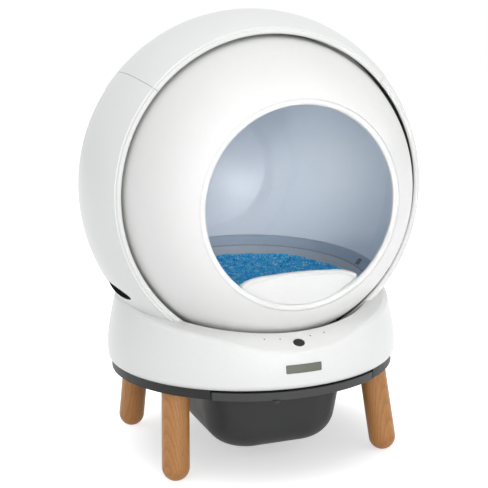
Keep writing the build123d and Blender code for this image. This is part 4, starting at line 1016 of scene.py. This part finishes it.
# %% Lamps
def softbox(name, place, target, width, height, power, spread=180.0):
    """Rectangular lamp turned towards a point; a small spread keeps its light in a beam."""
    lamp = bpy.data.lights.new(name, "AREA")
    lamp.shape = "RECTANGLE"
    lamp.size = width
    lamp.size_y = height
    lamp.energy = power
    lamp.spread = math.radians(spread)
    holder = bpy.data.objects.new(name, lamp)
    holder.location = place
    aim = Vector(target) - Vector(place)
    holder.rotation_mode = "QUATERNION"
    holder.rotation_quaternion = aim.to_track_quat("-Z", "Y")
    scene.collection.objects.link(holder)
    holder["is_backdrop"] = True
    return holder


lamps = {  # place, target, width, height, watts, degrees of spread
    "front_light": ((-0.7, -2.7, 0.95), (0, 0, 0.42), 0.9, 0.9, 12),
    "front_low": ((0.3, -2.8, 0.60), (0, 0, 0.42), 0.9, 0.7, 11),
    "key_right": ((1.9, -2.1, 1.7), (0, 0, 0.32), 1.3, 1.5, 1.5),
    "top_panel": ((0.1, -0.2, 2.6), (0, 0, 0.4), 2.2, 2.0, 7),
    "entry_beam": ((-0.6, -2.7, 0.50), (0.04, 0.10, 0.46), 0.20, 0.20, 0.036, 10),
    "entry_side": ((-1.35, -2.35, 0.50), (0.20, 0.03, 0.45), 0.14, 0.14, 0.070, 9),
    "litter_beam": ((-0.2, -2.8, 0.95), (0.02, -0.05, 0.33), 0.20, 0.20, 0.036, 9),
}
for name, values in lamps.items():
    softbox(name, *values)

# %% [markdown]
# ## Camera
#
# The camera was found by laying the measured outlines of the ball, the entry, the base and the legs
# over the picture: it stands to the left of the entry, a little above it, some two metres away, and it
# leans by about one degree. A long lens keeps the ball round.

# %% Camera
camera_place = Vector((-0.6528, -1.8232, 0.7166))
camera_target = Vector((-0.01235, -0.0104, 0.3352))
camera_lean = math.radians(-1.2)
lens = bpy.data.cameras.new("camera")
lens.lens = 88.06
lens.sensor_width = 36.0
camera = bpy.data.objects.new("camera", lens)
scene.collection.objects.link(camera)
ahead = (camera_target - camera_place).normalized()
right = ahead.cross(Vector((0, 0, 1))).normalized()
up = right.cross(ahead)
side = right * math.cos(camera_lean) + up * math.sin(camera_lean)
top = up * math.cos(camera_lean) - right * math.sin(camera_lean)
turn = Matrix((side, top, -ahead)).transposed()
camera.matrix_world = Matrix.Translation(camera_place) @ turn.to_4x4()
scene.camera = camera
scene.view_settings.view_transform = "Standard"
print("camera at", [round(v, 3) for v in camera_place])

# %% [markdown]
# ## Closing
#
# The dressed model must keep the size of the measured one, so both boxes are written down side by side.

# %% Write both boxes and finish
shown_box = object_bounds()
for title, box in (("CAD box", cad_box), ("shown box", shown_box)):
    print(title, [[round(c, 4) for c in v] for v in box])
